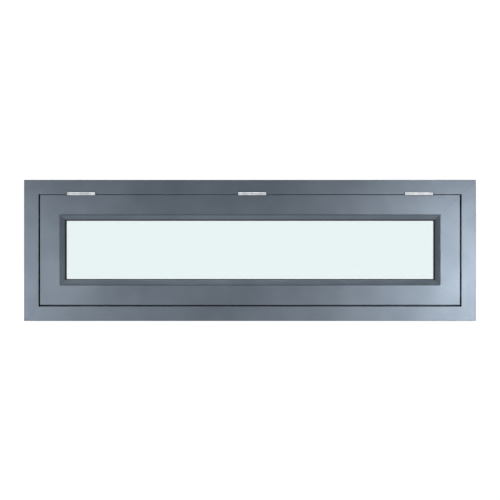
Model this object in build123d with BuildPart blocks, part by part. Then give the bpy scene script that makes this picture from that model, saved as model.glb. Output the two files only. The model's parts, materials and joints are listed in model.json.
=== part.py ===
"""Top-hung window: a flush sash in a mitred frame, opened by a crank operator with two elbow arms.

Millimetres, +Z up, +X along the width. The outside of the window faces -Y and the room faces +Y.
The origin is the middle of the underside of the sill, half way through the frame's depth.
"""
import os
from math import atan2, cos, degrees, hypot, pi, radians, sin

from build123d import *

os.makedirs("parts", exist_ok=True)

# ---------------------------------------------------------------- driving dimensions
FRAME_W = 1280.0
FRAME_H = 400.0
FRAME_DEPTH = 60.0
FACE = FRAME_DEPTH / 2  # distance of the outside face, and of the room face, from the middle

FRAME_FACE = 41.5  # width of the frame's outside face
LIP = 14.0  # height of the stop lip above the rebate
LIP_THICK = 15.0  # thickness of the stop lip
WALL = 3.0  # wall of the hollow sections
EDGE_R = 0.8  # rounding of the edges beside the gap

TOP_GAP = 1.2
BOTTOM_GAP = 3.8
SIDE_GAP = 3.5

SASH_DEPTH = 42.0
SASH_FACE = 56.0  # width of the sash's outside face
GLAZING_LEG = 16.0  # leg on the room side that the glass sits against
LEG_THICK = 10.0

PANE = 4.0
AIR_SPACE = 12.0
GLASS_OUT = 20.0  # outside surface of the glass, measured outwards from the middle of the depth
GLASS_EDGE = 4.0  # gap between the rebate and the edge of the glass
BEAD_W = 14.5
BEAD_PLAY = 0.2  # between a bead's foot and the rebate
BEAD_QUIRK = 1.0  # step down from the sash's face to the bead's edge
BEAD_CREST = (1.6, 0.4)  # top of the slope: in from the rebate, back from the face
BEAD_TOE = (1.5, 4.0)  # foot of the slope: back from the bead's inner edge, out from the glass
BEAD_NOSE = 2.8  # bead's inner edge, out from the glass
GASKET_T = 1.0  # gasket squeezed between a bead and the glass
GASKET_LIP = 2.2  # lip that shows beside the beads, out from the glass
GASKET_INSET = 6.0  # hidden edge of the gaskets, in from the rebate
SIGHT = 17.5  # bead and gasket together

OPEN_DEG = 30.0  # how far the sash swings

# hinges
HINGE_LEN = 80.0
HINGE_R = 4.8
HINGE_PIN_R = 2.5
HINGE_AXIS_OUT = FACE + 2.0
HINGE_AXIS_Z = 360.0
HINGE_X = {"left": -478.0, "middle": 6.0, "right": 478.0}
LEAF_T = 1.5
LEAF_DEEP = 24.0
RUN_CLEAR = 0.06  # radial clearance of a running fit
FIX_CLEAR = 0.02  # radial clearance of a fixed fit
SCREW_CLEAR = 0.1  # radial clearance of a screw in its hole

# crank operator; heights are above the plane that the links move in
BALL_Z = 72.0
BALL_OUT = -34.0
BALL_R = 3.5
WORM_PITCH = 2.0
FULL_TEETH = 96  # teeth that a whole wheel of the sector's size would have
WORM_R = 4.3
ADDENDUM = 0.6
DEDENDUM = 0.75
TOOTH = 0.7  # tooth thickness on the pitch line
SECTOR_LEVEL = 7.0
SECTOR_T = 3.0
ARM_T = 3.0
ARM_W = 16.0
LINK_T = 3.0
WORM_LEVEL = SECTOR_LEVEL + SECTOR_T / 2
STUD_R = 3.0
CRANK_RADIUS = 50.0

# ---------------------------------------------------------------- derived sizes
INNER_W = FRAME_W - 2 * FRAME_FACE
INNER_H = FRAME_H - 2 * FRAME_FACE
SASH_W = INNER_W - 2 * SIDE_GAP
SASH_H = INNER_H - TOP_GAP - BOTTOM_GAP
SASH_Z = FRAME_FACE + BOTTOM_GAP + SASH_H / 2
FRAME_Z = FRAME_H / 2
SASH_BACK = FACE - SASH_DEPTH  # room face of the sash, measured outwards from the middle
LEG_FRONT = SASH_BACK + LEG_THICK
LIP_FRONT = -FACE + LIP_THICK

SECTOR_R = FULL_TEETH * WORM_PITCH / (2 * pi)
PIVOT_X = SECTOR_R + WORM_R
REACH_OUT = HINGE_AXIS_OUT - BALL_OUT
REACH_DOWN = HINGE_AXIS_Z - BALL_Z
ARM_LEN = hypot(REACH_OUT, REACH_DOWN)  # arms and links as long as the ball's swing radius
SLOPE = degrees(atan2(REACH_OUT, REACH_DOWN))


def save(builder, name):
    """Label a finished piece and write its STEP file."""
    builder.part.label = name
    export_step(builder.part, f"parts/{name}.step")


# ---------------------------------------------------------------- mitred members
# Profiles are drawn as (distance in from the outer edge, distance out from mid-depth).
SIDES = {
    "bottom": (Vector(1, 0, 0), Vector(0, 0, 1)),
    "right": (Vector(0, 0, 1), Vector(-1, 0, 0)),
    "top": (Vector(-1, 0, 0), Vector(0, 0, -1)),
    "left": (Vector(0, 0, -1), Vector(1, 0, 0)),
}


def half_sizes(side, width, height):
    """Half the run of a member and its distance from the middle of the ring."""
    if side in ("bottom", "top"):
        return width / 2, height / 2
    return height / 2, width / 2


def section_plane(side, width, height, centre_z):
    """Plane of a member's section at the start of its run, x inwards and y outwards."""
    run, inward = SIDES[side]
    half_run, away = half_sizes(side, width, height)
    corner = Vector(0, 0, centre_z) - run * half_run - inward * away
    return Plane(origin=corner, x_dir=inward, z_dir=run)


def mitre_planes(side, width, height, centre_z):
    """The two 45 degree planes that end a member, their normals pointing off its ends."""
    run, inward = SIDES[side]
    half_run, away = half_sizes(side, width, height)
    middle = Vector(0, 0, centre_z) - inward * away
    return [
        Plane(origin=middle + run * half_run, z_dir=run + inward),
        Plane(origin=middle - run * half_run, z_dir=inward - run),
    ]


def mitred_member(side, size, outline, hollows=(), rounded=()):
    """Extrude a section along one side of a ring and mitre both ends."""
    width, height, centre_z = size
    plane = section_plane(side, width, height, centre_z)
    half_run, _ = half_sizes(side, width, height)
    with BuildPart() as member:
        with BuildSketch(plane) as section:
            with BuildLine():
                Polyline(*outline, close=True)
            make_face()
            corners = [
                corner
                for corner in section.sketch_local.vertices()
                if (round(corner.X, 3), round(corner.Y, 3)) in rounded
            ]
            if corners:
                fillet(corners, EDGE_R)
            for low, high in hollows:
                with Locations(((low[0] + high[0]) / 2, (low[1] + high[1]) / 2)):
                    Rectangle(high[0] - low[0], high[1] - low[1], mode=Mode.SUBTRACT)
        extrude(amount=2 * half_run)
        for mitre in mitre_planes(side, width, height, centre_z):
            split(bisect_by=mitre, keep=Keep.BOTTOM)
    return member


def flat_ring(size, inset, band, out_low, out_high):
    """A rectangular ring, its outer edge inset from the size given, between two depths."""
    width, height, centre_z = size
    with BuildPart() as ring:
        with BuildSketch(Plane(origin=(0, -out_low, centre_z), x_dir=(1, 0, 0), z_dir=(0, -1, 0))):
            Rectangle(width - 2 * inset, height - 2 * inset)
            Rectangle(width - 2 * (inset + band), height - 2 * (inset + band), mode=Mode.SUBTRACT)
        extrude(amount=out_high - out_low)
    return ring


def corner_cleats(size, inset, thick, leg, out_low, out_high):
    """Four L-shaped blocks that sit inside the mitred corners."""
    width, height, centre_z = size
    plane = Plane(origin=(0, -out_low, centre_z), x_dir=(1, 0, 0), z_dir=(0, -1, 0))
    with BuildPart() as cleats:
        with BuildSketch(plane):
            with BuildLine():
                x = width / 2 - inset
                z = height / 2 - inset
                Polyline(
                    (x, z), (x, z - leg), (x - thick, z - leg), (x - thick, z - thick),
                    (x - leg, z - thick), (x - leg, z), close=True,
                )
            make_face()
            mirror(about=Plane.YZ)
            mirror(about=Plane.XZ)
        extrude(amount=out_high - out_low)
    return cleats


FRAME_SIZE = (FRAME_W, FRAME_H, FRAME_Z)
SASH_SIZE = (SASH_W, SASH_H, SASH_Z)

frame_outline = [
    (0, -FACE), (0, FACE), (FRAME_FACE, FACE), (FRAME_FACE, LIP_FRONT),
    (FRAME_FACE + LIP, LIP_FRONT), (FRAME_FACE + LIP, -FACE),
]
frame_hollows = [
    ((WALL, LIP_FRONT + WALL), (FRAME_FACE - WALL, FACE - WALL)),
    ((WALL, -FACE + WALL), (FRAME_FACE + LIP - WALL, LIP_FRONT - WALL)),
]
sash_outline = [
    (0, SASH_BACK), (0, FACE), (SASH_FACE, FACE), (SASH_FACE, LEG_FRONT),
    (SASH_FACE + GLAZING_LEG, LEG_FRONT), (SASH_FACE + GLAZING_LEG, SASH_BACK),
]
sash_hollows = [((WALL, SASH_BACK + WALL), (SASH_FACE - WALL, FACE - WALL))]
bead_outline = [
    (SASH_FACE + BEAD_PLAY, GLASS_OUT + GASKET_T),
    (SASH_FACE + BEAD_PLAY, FACE - BEAD_QUIRK),
    (SASH_FACE + BEAD_CREST[0], FACE - BEAD_CREST[1]),
    (SASH_FACE + BEAD_W - BEAD_TOE[0], GLASS_OUT + BEAD_TOE[1]),
    (SASH_FACE + BEAD_W, GLASS_OUT + BEAD_NOSE),
    (SASH_FACE + BEAD_W, GLASS_OUT + GASKET_T),
]

MEMBER_NAMES = {
    "bottom": ("frame_sill", "sash_bottom_rail"),
    "right": ("frame_right_jamb", "sash_right_stile"),
    "top": ("frame_head", "sash_top_rail"),
    "left": ("frame_left_jamb", "sash_left_stile"),
}

# Leaves lie in shallow beds in the two facing edges; a notch in each face clears the knuckles.
NOTCH_LEN = HINGE_LEN + 6.0
NOTCH_FLOOR = FACE - 3.4
NOTCH_UP = 8.0  # height of the notch in the head
NOTCH_DOWN = 3.0  # height of the notch in the sash
NOTCH_CUT = 10.0  # the cut runs clear of the face
BED_PLAY = 0.4
HEAD_EDGE_Z = FRAME_H - FRAME_FACE
SASH_TOP_Z = SASH_Z + SASH_H / 2
LEAF_IN = FACE - LEAF_DEEP
SCREW_PITCH = 27.0
SCREW_OUT = 13.0
SCREW_R = 1.6
SCREW_HEAD_R = 3.4
SCREW_HEAD_T = 0.45
SCREW_BITE = 3.0  # how far a hinge screw's hole runs past the wall

# The operator base is screwed to the sill's room face.
BASE_W = 130.0
BASE_LOW = 10.0
BASE_HIGH = 50.0
BASE_T = 3.5
BASE_SCREW_X = 104.0
BASE_SCREW_Z = 20.0
BASE_SCREW_R = 2.1
BASE_SCREW_BITE = 4.0  # how far a screw reaches past the wall
BASE_MIDDLE = (BASE_LOW + BASE_HIGH) / 2

# Brackets on the sash's bottom rail hold the ball studs.
BRACKET_W = 44.0
BRACKET_T = 3.0
BRACKET_LOW = 56.2
BRACKET_HIGH = 78.0
BRACKET_SCREW_X = 16.0
BRACKET_SCREW_Z = 69.0

# Wall fixings pass through the jambs.
FIXING_R = 4.1
FIXING_SPACING = 200.0
FIXING_OUT = 5.0

WORLD_OUT = Plane(origin=(0, 0, 0), x_dir=(1, 0, 0), z_dir=(0, -1, 0))  # seen from outside: x, z

for side, (frame_name, sash_name) in MEMBER_NAMES.items():
    with BuildPart() as frame_member:
        frame_rounded = [(FRAME_FACE, FACE), (0, FACE)]
        add(mitred_member(side, FRAME_SIZE, frame_outline, frame_hollows, frame_rounded).part)
        if side == "top":
            for x in HINGE_X.values():
                with BuildSketch(WORLD_OUT.offset(NOTCH_FLOOR)):
                    with Locations((x, HEAD_EDGE_Z + NOTCH_UP / 2)):
                        Rectangle(NOTCH_LEN, NOTCH_UP)
                extrude(amount=NOTCH_CUT, mode=Mode.SUBTRACT)
                with BuildSketch(WORLD_OUT.offset(LEAF_IN)):
                    with Locations((x, HEAD_EDGE_Z + LEAF_T / 2)):
                        Rectangle(HINGE_LEN + BED_PLAY, LEAF_T)
                extrude(amount=LEAF_DEEP, mode=Mode.SUBTRACT)
                with BuildSketch(Plane(origin=(x, -SCREW_OUT, HEAD_EDGE_Z))):
                    with GridLocations(SCREW_PITCH, 0, 3, 1):
                        Circle(SCREW_R + SCREW_CLEAR)
                extrude(amount=WALL + SCREW_BITE, mode=Mode.SUBTRACT)
        if side == "bottom":
            with BuildSketch(WORLD_OUT.offset(-FACE)):
                with Locations((0, BASE_MIDDLE)):
                    with GridLocations(BASE_SCREW_X, BASE_SCREW_Z, 2, 2):
                        Circle(BASE_SCREW_R + SCREW_CLEAR)
            extrude(amount=WALL + 1, mode=Mode.SUBTRACT)
        if side in ("left", "right"):
            with BuildSketch(Plane(origin=(0, -FIXING_OUT, FRAME_Z), x_dir=(0, 0, 1), z_dir=(1, 0, 0))):
                with GridLocations(FIXING_SPACING, 0, 2, 1):
                    Circle(FIXING_R)
            extrude(amount=FRAME_W, both=True, mode=Mode.SUBTRACT)
    save(frame_member, frame_name)

    with BuildPart() as sash_member:
        sash_rounded = [(0, FACE), (SASH_FACE, FACE)]
        add(mitred_member(side, SASH_SIZE, sash_outline, sash_hollows, sash_rounded).part)
        if side == "top":
            for x in HINGE_X.values():
                with BuildSketch(WORLD_OUT.offset(NOTCH_FLOOR)):
                    with Locations((x, SASH_TOP_Z - NOTCH_DOWN / 2)):
                        Rectangle(NOTCH_LEN, NOTCH_DOWN)
                extrude(amount=NOTCH_CUT, mode=Mode.SUBTRACT)
                with BuildSketch(WORLD_OUT.offset(LEAF_IN)):
                    with Locations((x, SASH_TOP_Z - LEAF_T / 2)):
                        Rectangle(HINGE_LEN + BED_PLAY, LEAF_T)
                extrude(amount=LEAF_DEEP, mode=Mode.SUBTRACT)
                with BuildSketch(Plane(origin=(x, -SCREW_OUT, SASH_TOP_Z))):
                    with GridLocations(SCREW_PITCH, 0, 3, 1):
                        Circle(SCREW_R + SCREW_CLEAR)
                extrude(amount=-(WALL + SCREW_BITE), mode=Mode.SUBTRACT)
        if side == "bottom":
            for x in (-PIVOT_X, PIVOT_X):
                with BuildSketch(WORLD_OUT.offset(SASH_BACK)):
                    with Locations((x, BRACKET_SCREW_Z)):
                        with GridLocations(2 * BRACKET_SCREW_X, 0, 2, 1):
                            Circle(BASE_SCREW_R + SCREW_CLEAR)
                extrude(amount=WALL + 1, mode=Mode.SUBTRACT)
    save(sash_member, sash_name)

    save(mitred_member(side, SASH_SIZE, bead_outline), f"glazing_bead_{side}")

# ---------------------------------------------------------------- cleats, seals and glass
CLEAT_INSET = WALL + 0.3
FRAME_CLEAT_T = 28.0
FRAME_CLEAT_LEG = 90.0
FRAME_CLEAT_OUT = (-10.0, FACE - WALL - 2)
SASH_CLEAT_T = 40.0
SASH_CLEAT_LEG = 78.0
SASH_CLEAT_OUT = (SASH_BACK + WALL + 1, FACE - WALL - 3)
frame_cleats = corner_cleats(FRAME_SIZE, CLEAT_INSET, FRAME_CLEAT_T, FRAME_CLEAT_LEG, *FRAME_CLEAT_OUT)
save(frame_cleats, "frame_corner_cleats")
sash_cleats = corner_cleats(SASH_SIZE, CLEAT_INSET, SASH_CLEAT_T, SASH_CLEAT_LEG, *SASH_CLEAT_OUT)
save(sash_cleats, "sash_corner_cleats")

SEAL_GAP = 0.5
SEAL_INSET = FRAME_FACE + 0.3  # the seal reaches right under the gap
SEAL_W = 10.7
save(flat_ring(FRAME_SIZE, SEAL_INSET, SEAL_W, LIP_FRONT, SASH_BACK - SEAL_GAP), "frame_stop_seal")

GLASS_INSET = SASH_FACE + GLASS_EDGE
GLASS_IN = GLASS_OUT - 2 * PANE - AIR_SPACE
SPACER_W = 8.0
SPACER_INSET = GLASS_INSET + 1.0
INNER_LIP_BACK = 1.5  # inner gasket's free edge, back from the sight line
BLOCK_LEN = 80.0
BLOCK_SPREAD = 0.6  # spacing of the setting blocks as a share of the sash's width

for pane_name, out_low in (("inner_pane", GLASS_IN), ("outer_pane", GLASS_OUT - PANE)):
    with BuildPart() as pane:
        with BuildSketch(Plane(origin=(0, -out_low, SASH_Z), x_dir=(1, 0, 0), z_dir=(0, -1, 0))):
            Rectangle(SASH_W - 2 * GLASS_INSET, SASH_H - 2 * GLASS_INSET)
        extrude(amount=PANE)
    save(pane, pane_name)

save(flat_ring(SASH_SIZE, SPACER_INSET, SPACER_W, GLASS_IN + PANE, GLASS_OUT - PANE), "glass_spacer_bar")
GASKET_EDGE = SASH_FACE + GASKET_INSET
GASKET_W = SIGHT - GASKET_INSET
save(flat_ring(SASH_SIZE, GASKET_EDGE, GASKET_W - INNER_LIP_BACK, LEG_FRONT, GLASS_IN), "inner_gasket")

with BuildPart() as outer_gasket:
    add(flat_ring(SASH_SIZE, GASKET_EDGE, GASKET_W, GLASS_OUT, GLASS_OUT + GASKET_T).part)
    add(flat_ring(SASH_SIZE, SASH_FACE + BEAD_W, SIGHT - BEAD_W, GLASS_OUT, GLASS_OUT + GASKET_LIP).part)
save(outer_gasket, "outer_gasket")

with BuildPart() as setting_blocks:
    with BuildSketch(Plane(origin=(0, -GLASS_IN - 1, SASH_Z), x_dir=(1, 0, 0), z_dir=(0, -1, 0))):
        with GridLocations(SASH_W * BLOCK_SPREAD, SASH_H - 2 * SASH_FACE - GLASS_EDGE, 2, 2):
            Rectangle(BLOCK_LEN, GLASS_EDGE)
    extrude(amount=2 * PANE + AIR_SPACE - 2)
save(setting_blocks, "setting_blocks")

# ---------------------------------------------------------------- hinges
KNUCKLE_GAP = 0.4
KNUCKLE_LEN = (HINGE_LEN - KNUCKLE_GAP) / 2
PIN_CHAMFER = 0.4


def hinge_leaf(x_middle, knuckle_sign, leaf_low, leaf_high):
    """A flat leaf with one knuckle, rolled round the hinge axis."""
    knuckle_x = x_middle + knuckle_sign * (HINGE_LEN - KNUCKLE_LEN) / 2
    knuckle_start = (knuckle_x - KNUCKLE_LEN / 2, -HINGE_AXIS_OUT, HINGE_AXIS_Z)
    axis_plane = Plane(origin=knuckle_start, x_dir=(0, 1, 0), z_dir=(1, 0, 0))
    with BuildPart() as leaf:
        with BuildSketch(Plane(origin=(x_middle, 0, leaf_low))):
            with Locations((0, -(LEAF_IN + NOTCH_FLOOR) / 2)):
                Rectangle(HINGE_LEN, NOTCH_FLOOR - LEAF_IN)
            with Locations((knuckle_x - x_middle, -(NOTCH_FLOOR + HINGE_AXIS_OUT) / 2)):
                Rectangle(KNUCKLE_LEN, HINGE_AXIS_OUT - NOTCH_FLOOR)
        extrude(amount=leaf_high - leaf_low)
        with BuildSketch(Plane(origin=(x_middle, -SCREW_OUT, leaf_low))):
            with GridLocations(SCREW_PITCH, 0, 3, 1):
                Circle(SCREW_R + SCREW_CLEAR)
        extrude(amount=leaf_high - leaf_low, mode=Mode.SUBTRACT)
        with BuildSketch(axis_plane):
            Circle(HINGE_R)
        extrude(amount=KNUCKLE_LEN)
        with BuildSketch(axis_plane):
            Circle(HINGE_PIN_R + (RUN_CLEAR if knuckle_sign > 0 else FIX_CLEAR))
        extrude(amount=KNUCKLE_LEN, mode=Mode.SUBTRACT)
    return leaf


def leaf_screws(leaf_face_z, direction):
    """Countersunk screws of all three hinges, driven up or down from a leaf's open face."""
    with BuildPart() as screws:
        for x in HINGE_X.values():
            with BuildSketch(Plane(origin=(x, -SCREW_OUT, leaf_face_z))):
                with GridLocations(SCREW_PITCH, 0, 3, 1):
                    Circle(SCREW_R)
            extrude(amount=direction * (LEAF_T + WALL + 2))
            with BuildSketch(Plane(origin=(x, -SCREW_OUT, leaf_face_z))):
                with GridLocations(SCREW_PITCH, 0, 3, 1):
                    Circle(SCREW_HEAD_R)
            extrude(amount=-direction * SCREW_HEAD_T)
    return screws


for place, x in HINGE_X.items():
    save(hinge_leaf(x, -1, HEAD_EDGE_Z, HEAD_EDGE_Z + LEAF_T), f"{place}_hinge_frame_leaf")
    save(hinge_leaf(x, 1, SASH_TOP_Z - LEAF_T, SASH_TOP_Z), f"{place}_hinge_sash_leaf")
    with BuildPart() as hinge_pin:
        pin_start = (x - HINGE_LEN / 2, -HINGE_AXIS_OUT, HINGE_AXIS_Z)
        with BuildSketch(Plane(origin=pin_start, x_dir=(0, 1, 0), z_dir=(1, 0, 0))):
            Circle(HINGE_PIN_R)
        extrude(amount=HINGE_LEN)
        chamfer(hinge_pin.edges().filter_by(GeomType.CIRCLE), PIN_CHAMFER)
    save(hinge_pin, f"{place}_hinge_pin")
save(leaf_screws(HEAD_EDGE_Z, 1), "hinge_frame_screws")
save(leaf_screws(SASH_TOP_Z, -1), "hinge_sash_screws")

# ---------------------------------------------------------------- crank operator
# The links move in a plane through the ball centres, square to the line from the hinge axis.
# Local x is along the window, local y towards the room and local z up from the links.
links = Plane(
    origin=(0, -BALL_OUT, BALL_Z), x_dir=(1, 0, 0), z_dir=(0, -sin(radians(SLOPE)), cos(radians(SLOPE)))
)


def level(height, x=0.0, y=0.0):
    """Plane parallel to the links' plane, raised and shifted in its own axes."""
    return Plane(origin=links.from_local_coords((x, y, height)), x_dir=links.x_dir, z_dir=links.z_dir)


def shaft(x, y, height):
    """Plane facing the room along the worm, at a place given in the links' plane."""
    return Plane(origin=links.from_local_coords((x, y, height)), x_dir=links.x_dir, z_dir=links.y_dir)


# base screwed to the room face of the sill, with two ears for the trunnions
EAR_IN = 16.5
EAR_OUT = 22.5
EAR_INSET = 6.0  # ends of an ear's root, in from the ends of the base plate
EAR_FOOT_OUT = 5.0
EAR_SHOULDER_OUT = 12.0
BASE_CORNER_R = 6.0
BASE_HEAD_T = 2.4
BASE_HEAD_ROUND = 1.0
BOSS_R = 3.9
TRUNNION_R = 2.0
with BuildPart() as operator_base:
    with BuildSketch(WORLD_OUT.offset(-FACE)):
        with Locations((0, BASE_MIDDLE)):
            RectangleRounded(BASE_W, BASE_HIGH - BASE_LOW, BASE_CORNER_R)
            with GridLocations(BASE_SCREW_X, BASE_SCREW_Z, 2, 2):
                Circle(BASE_SCREW_R + SCREW_CLEAR, mode=Mode.SUBTRACT)
    extrude(amount=-BASE_T)
    for ear_x in (-EAR_OUT, EAR_IN):
        with BuildSketch(Plane(origin=(ear_x, 0, 0), x_dir=(0, 1, 0), z_dir=(1, 0, 0))):
            with BuildLine():
                Polyline(
                    (FACE, BASE_LOW + EAR_INSET),
                    (FACE + EAR_FOOT_OUT, BASE_LOW + EAR_INSET),
                    (FACE + EAR_SHOULDER_OUT, BASE_HIGH - EAR_INSET),
                    (-BALL_OUT + BOSS_R, BALL_Z),
                    (-BALL_OUT - BOSS_R, BALL_Z),
                    (FACE, BASE_HIGH),
                    close=True,
                )
            make_face()
            with Locations((-BALL_OUT, BALL_Z)):
                Circle(BOSS_R)
                Circle(TRUNNION_R + RUN_CLEAR, mode=Mode.SUBTRACT)
        extrude(amount=EAR_OUT - EAR_IN)
save(operator_base, "operator_base")

with BuildPart() as base_screws:
    with BuildSketch(WORLD_OUT.offset(-FACE - BASE_T)):
        with Locations((0, BASE_MIDDLE)):
            with GridLocations(BASE_SCREW_X, BASE_SCREW_Z, 2, 2):
                Circle(BASE_SCREW_R)
    extrude(amount=BASE_T + WALL + BASE_SCREW_BITE)
    with BuildSketch(WORLD_OUT.offset(-FACE - BASE_T)):
        with Locations((0, BASE_MIDDLE)):
            with GridLocations(BASE_SCREW_X, BASE_SCREW_Z, 2, 2):
                Circle(2 * BASE_SCREW_R)
    extrude(amount=-BASE_HEAD_T)
    fillet(base_screws.faces().sort_by(Axis.Y)[-4:].edges(), BASE_HEAD_ROUND)
save(base_screws, "operator_base_screws")

# rocking gear case
FLOOR_LOW = 4.3
FLOOR_HIGH = 6.5
COVER_IN = 13.9
COVER_TOP = 16.2
CASE_X = 56.0
CASE_FRONT = -13.5
CASE_BACK = 19.0
CASE_WALL = 2.0
CASE_PLAY = 0.2  # between the case's floor and the cover's walls
CASE_CORNER_R = 5.0
FLOOR_CORNER_R = 3.0
BULGE_CORNER_R = 2.0
COVER_ROUND = 2.2
BULGE_X = 13.5
BULGE_LOW = -3.8
THREAD_LEN = 12.0
WORM_ROOT = WORM_R - DEDENDUM
WORM_CREST = WORM_R + ADDENDUM
FRONT_R = 2.5
REAR_R = 3.0
BUSH_T = 1.0
FRONT_BLOCK = (CASE_FRONT + CASE_WALL + CASE_PLAY, -9.0)
REAR_BLOCK = (10.8, CASE_BACK - CASE_WALL - CASE_PLAY)
BLOCK_X = 4.7
POST_R = 2.9
POST_Y = 13.6
POSTS_X = (-46.0, -16.0, 16.0, 46.0)
COVER_SCREW_R = 1.5
COVER_HEAD_R = 2.7
COVER_HEAD_T = 1.4
DRIVE_LEN = 3.2
DRIVE_W = 0.8
COVER_BOSS_R = 7.0
COVER_BOSS_LEN = 4.0
SPINDLE_HOLE_PLAY = 0.3
MOUTH_W = 20.0  # openings in the cover's ends that the arms sweep through
MOUTH_DEEP = 32.0
MOUTH_FROM = 9.4  # from the cover's front to the mouths, measured outwards
TRUNNION_IN = 8.6
WORM_PLAY = 0.4

floor_y = (CASE_FRONT + CASE_BACK) / 2
floor_deep = CASE_BACK - CASE_FRONT - 2 * (CASE_WALL + CASE_PLAY)
with BuildPart() as gear_case:
    with BuildSketch(level(FLOOR_LOW)):
        with Locations((0, floor_y)):
            RectangleRounded(2 * (CASE_X - CASE_WALL - CASE_PLAY), floor_deep, FLOOR_CORNER_R)
    extrude(amount=FLOOR_HIGH - FLOOR_LOW)
    with BuildSketch(level(BULGE_LOW)):
        with Locations((0, floor_y)):
            RectangleRounded(2 * BULGE_X, floor_deep - 2, BULGE_CORNER_R)
    extrude(amount=FLOOR_LOW - BULGE_LOW)
    for low, high in (FRONT_BLOCK, REAR_BLOCK):
        with BuildSketch(level(FLOOR_HIGH)):
            with Locations((0, (low + high) / 2)):
                Rectangle(2 * BLOCK_X, high - low)
        extrude(amount=COVER_IN - CASE_PLAY - FLOOR_HIGH)
    with BuildSketch(level(FLOOR_HIGH)):
        with Locations(*[(x, POST_Y) for x in POSTS_X]):
            Circle(POST_R)
    extrude(amount=COVER_IN - FLOOR_HIGH)
    with BuildSketch(level(FLOOR_LOW)):
        with Locations(*[(x, POST_Y) for x in POSTS_X]):
            Circle(COVER_SCREW_R + SCREW_CLEAR / 2)
    extrude(amount=COVER_IN - FLOOR_LOW, mode=Mode.SUBTRACT)
    with BuildSketch(shaft(0, FRONT_BLOCK[1], WORM_LEVEL)):
        Circle(WORM_CREST + WORM_PLAY)
    extrude(amount=REAR_BLOCK[0] - FRONT_BLOCK[1], mode=Mode.SUBTRACT)
    with BuildSketch(shaft(0, FRONT_BLOCK[0], WORM_LEVEL)):
        Circle(FRONT_R + BUSH_T + FIX_CLEAR)
    extrude(amount=FRONT_BLOCK[1] - FRONT_BLOCK[0], mode=Mode.SUBTRACT)
    with BuildSketch(shaft(0, REAR_BLOCK[0], WORM_LEVEL)):
        Circle(REAR_R + BUSH_T + FIX_CLEAR)
    extrude(amount=REAR_BLOCK[1] - REAR_BLOCK[0], mode=Mode.SUBTRACT)
    with BuildSketch(level(FLOOR_LOW)):
        with Locations((-PIVOT_X, 0), (PIVOT_X, 0)):
            Circle(STUD_R + FIX_CLEAR)
    extrude(amount=FLOOR_HIGH - FLOOR_LOW, mode=Mode.SUBTRACT)
    for side_sign in (-1, 1):
        with BuildSketch(Plane(origin=(side_sign * BULGE_X, -BALL_OUT, BALL_Z), z_dir=(-side_sign, 0, 0))):
            Circle(TRUNNION_R + FIX_CLEAR)
        extrude(amount=BULGE_X - TRUNNION_IN + 0.1, mode=Mode.SUBTRACT)
save(gear_case, "gear_case")

with BuildPart() as gear_case_cover:
    with BuildSketch(level(FLOOR_LOW)):
        with Locations((0, floor_y)):
            RectangleRounded(2 * CASE_X, CASE_BACK - CASE_FRONT, CASE_CORNER_R)
    extrude(amount=COVER_TOP - FLOOR_LOW)
    cover_top_face = gear_case_cover.faces().sort_by(Axis(links.origin, links.z_dir))[-1]
    fillet(cover_top_face.edges(), COVER_ROUND)
    with BuildSketch(level(FLOOR_LOW)):
        with Locations((0, floor_y)):
            RectangleRounded(
                2 * (CASE_X - CASE_WALL), CASE_BACK - CASE_FRONT - 2 * CASE_WALL, FLOOR_CORNER_R
            )
    extrude(amount=COVER_IN - FLOOR_LOW, mode=Mode.SUBTRACT)
    with BuildSketch(shaft(0, CASE_BACK - 1, WORM_LEVEL)):
        Circle(COVER_BOSS_R)
    extrude(amount=COVER_BOSS_LEN + 1)
    with BuildSketch(shaft(0, CASE_BACK - CASE_WALL - 1, WORM_LEVEL)):
        Circle(REAR_R + SPINDLE_HOLE_PLAY)
    extrude(amount=CASE_WALL + COVER_BOSS_LEN + 2, mode=Mode.SUBTRACT)
    with BuildSketch(level(FLOOR_LOW - 1)):
        for side_sign in (-1, 1):
            with Locations((side_sign * (CASE_X - CASE_WALL), CASE_FRONT + MOUTH_DEEP / 2 - MOUTH_FROM)):
                Rectangle(MOUTH_W, MOUTH_DEEP)
    extrude(amount=COVER_IN - FLOOR_LOW + 1, mode=Mode.SUBTRACT)
    with BuildSketch(level(COVER_IN)):
        with Locations(*[(x, POST_Y) for x in POSTS_X]):
            Circle(COVER_SCREW_R + SCREW_CLEAR)
    extrude(amount=COVER_TOP - COVER_IN, mode=Mode.SUBTRACT)
save(gear_case_cover, "gear_case_cover")

with BuildPart() as cover_screws:
    with BuildSketch(level(COVER_TOP)):
        with Locations(*[(x, POST_Y) for x in POSTS_X]):
            Circle(COVER_SCREW_R)
    extrude(amount=FLOOR_LOW - COVER_TOP)
    with BuildSketch(level(COVER_TOP)):
        with Locations(*[(x, POST_Y) for x in POSTS_X]):
            Circle(COVER_HEAD_R)
    extrude(amount=COVER_HEAD_T)
    with BuildSketch(level(COVER_TOP + COVER_HEAD_T)):
        with Locations(*[(x, POST_Y) for x in POSTS_X]):
            Rectangle(DRIVE_LEN, DRIVE_W)
            Rectangle(DRIVE_W, DRIVE_LEN)
    extrude(amount=-DRIVE_W, mode=Mode.SUBTRACT)
save(cover_screws, "gear_case_screws")

with BuildPart() as trunnion_pins:
    for side_sign in (-1, 1):
        pin_end = (side_sign * TRUNNION_IN, -BALL_OUT, BALL_Z)
        with BuildSketch(Plane(origin=pin_end, z_dir=(side_sign, 0, 0))):
            Circle(TRUNNION_R)
        extrude(amount=EAR_OUT - TRUNNION_IN)
save(trunnion_pins, "trunnion_pins")

with BuildPart() as spindle_bushes:
    for (low, high), journal in ((FRONT_BLOCK, FRONT_R), (REAR_BLOCK, REAR_R)):
        with BuildSketch(shaft(0, low, WORM_LEVEL)):
            Circle(journal + BUSH_T)
            Circle(journal + RUN_CLEAR, mode=Mode.SUBTRACT)
        extrude(amount=high - low)
save(spindle_bushes, "spindle_bushes")

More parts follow.
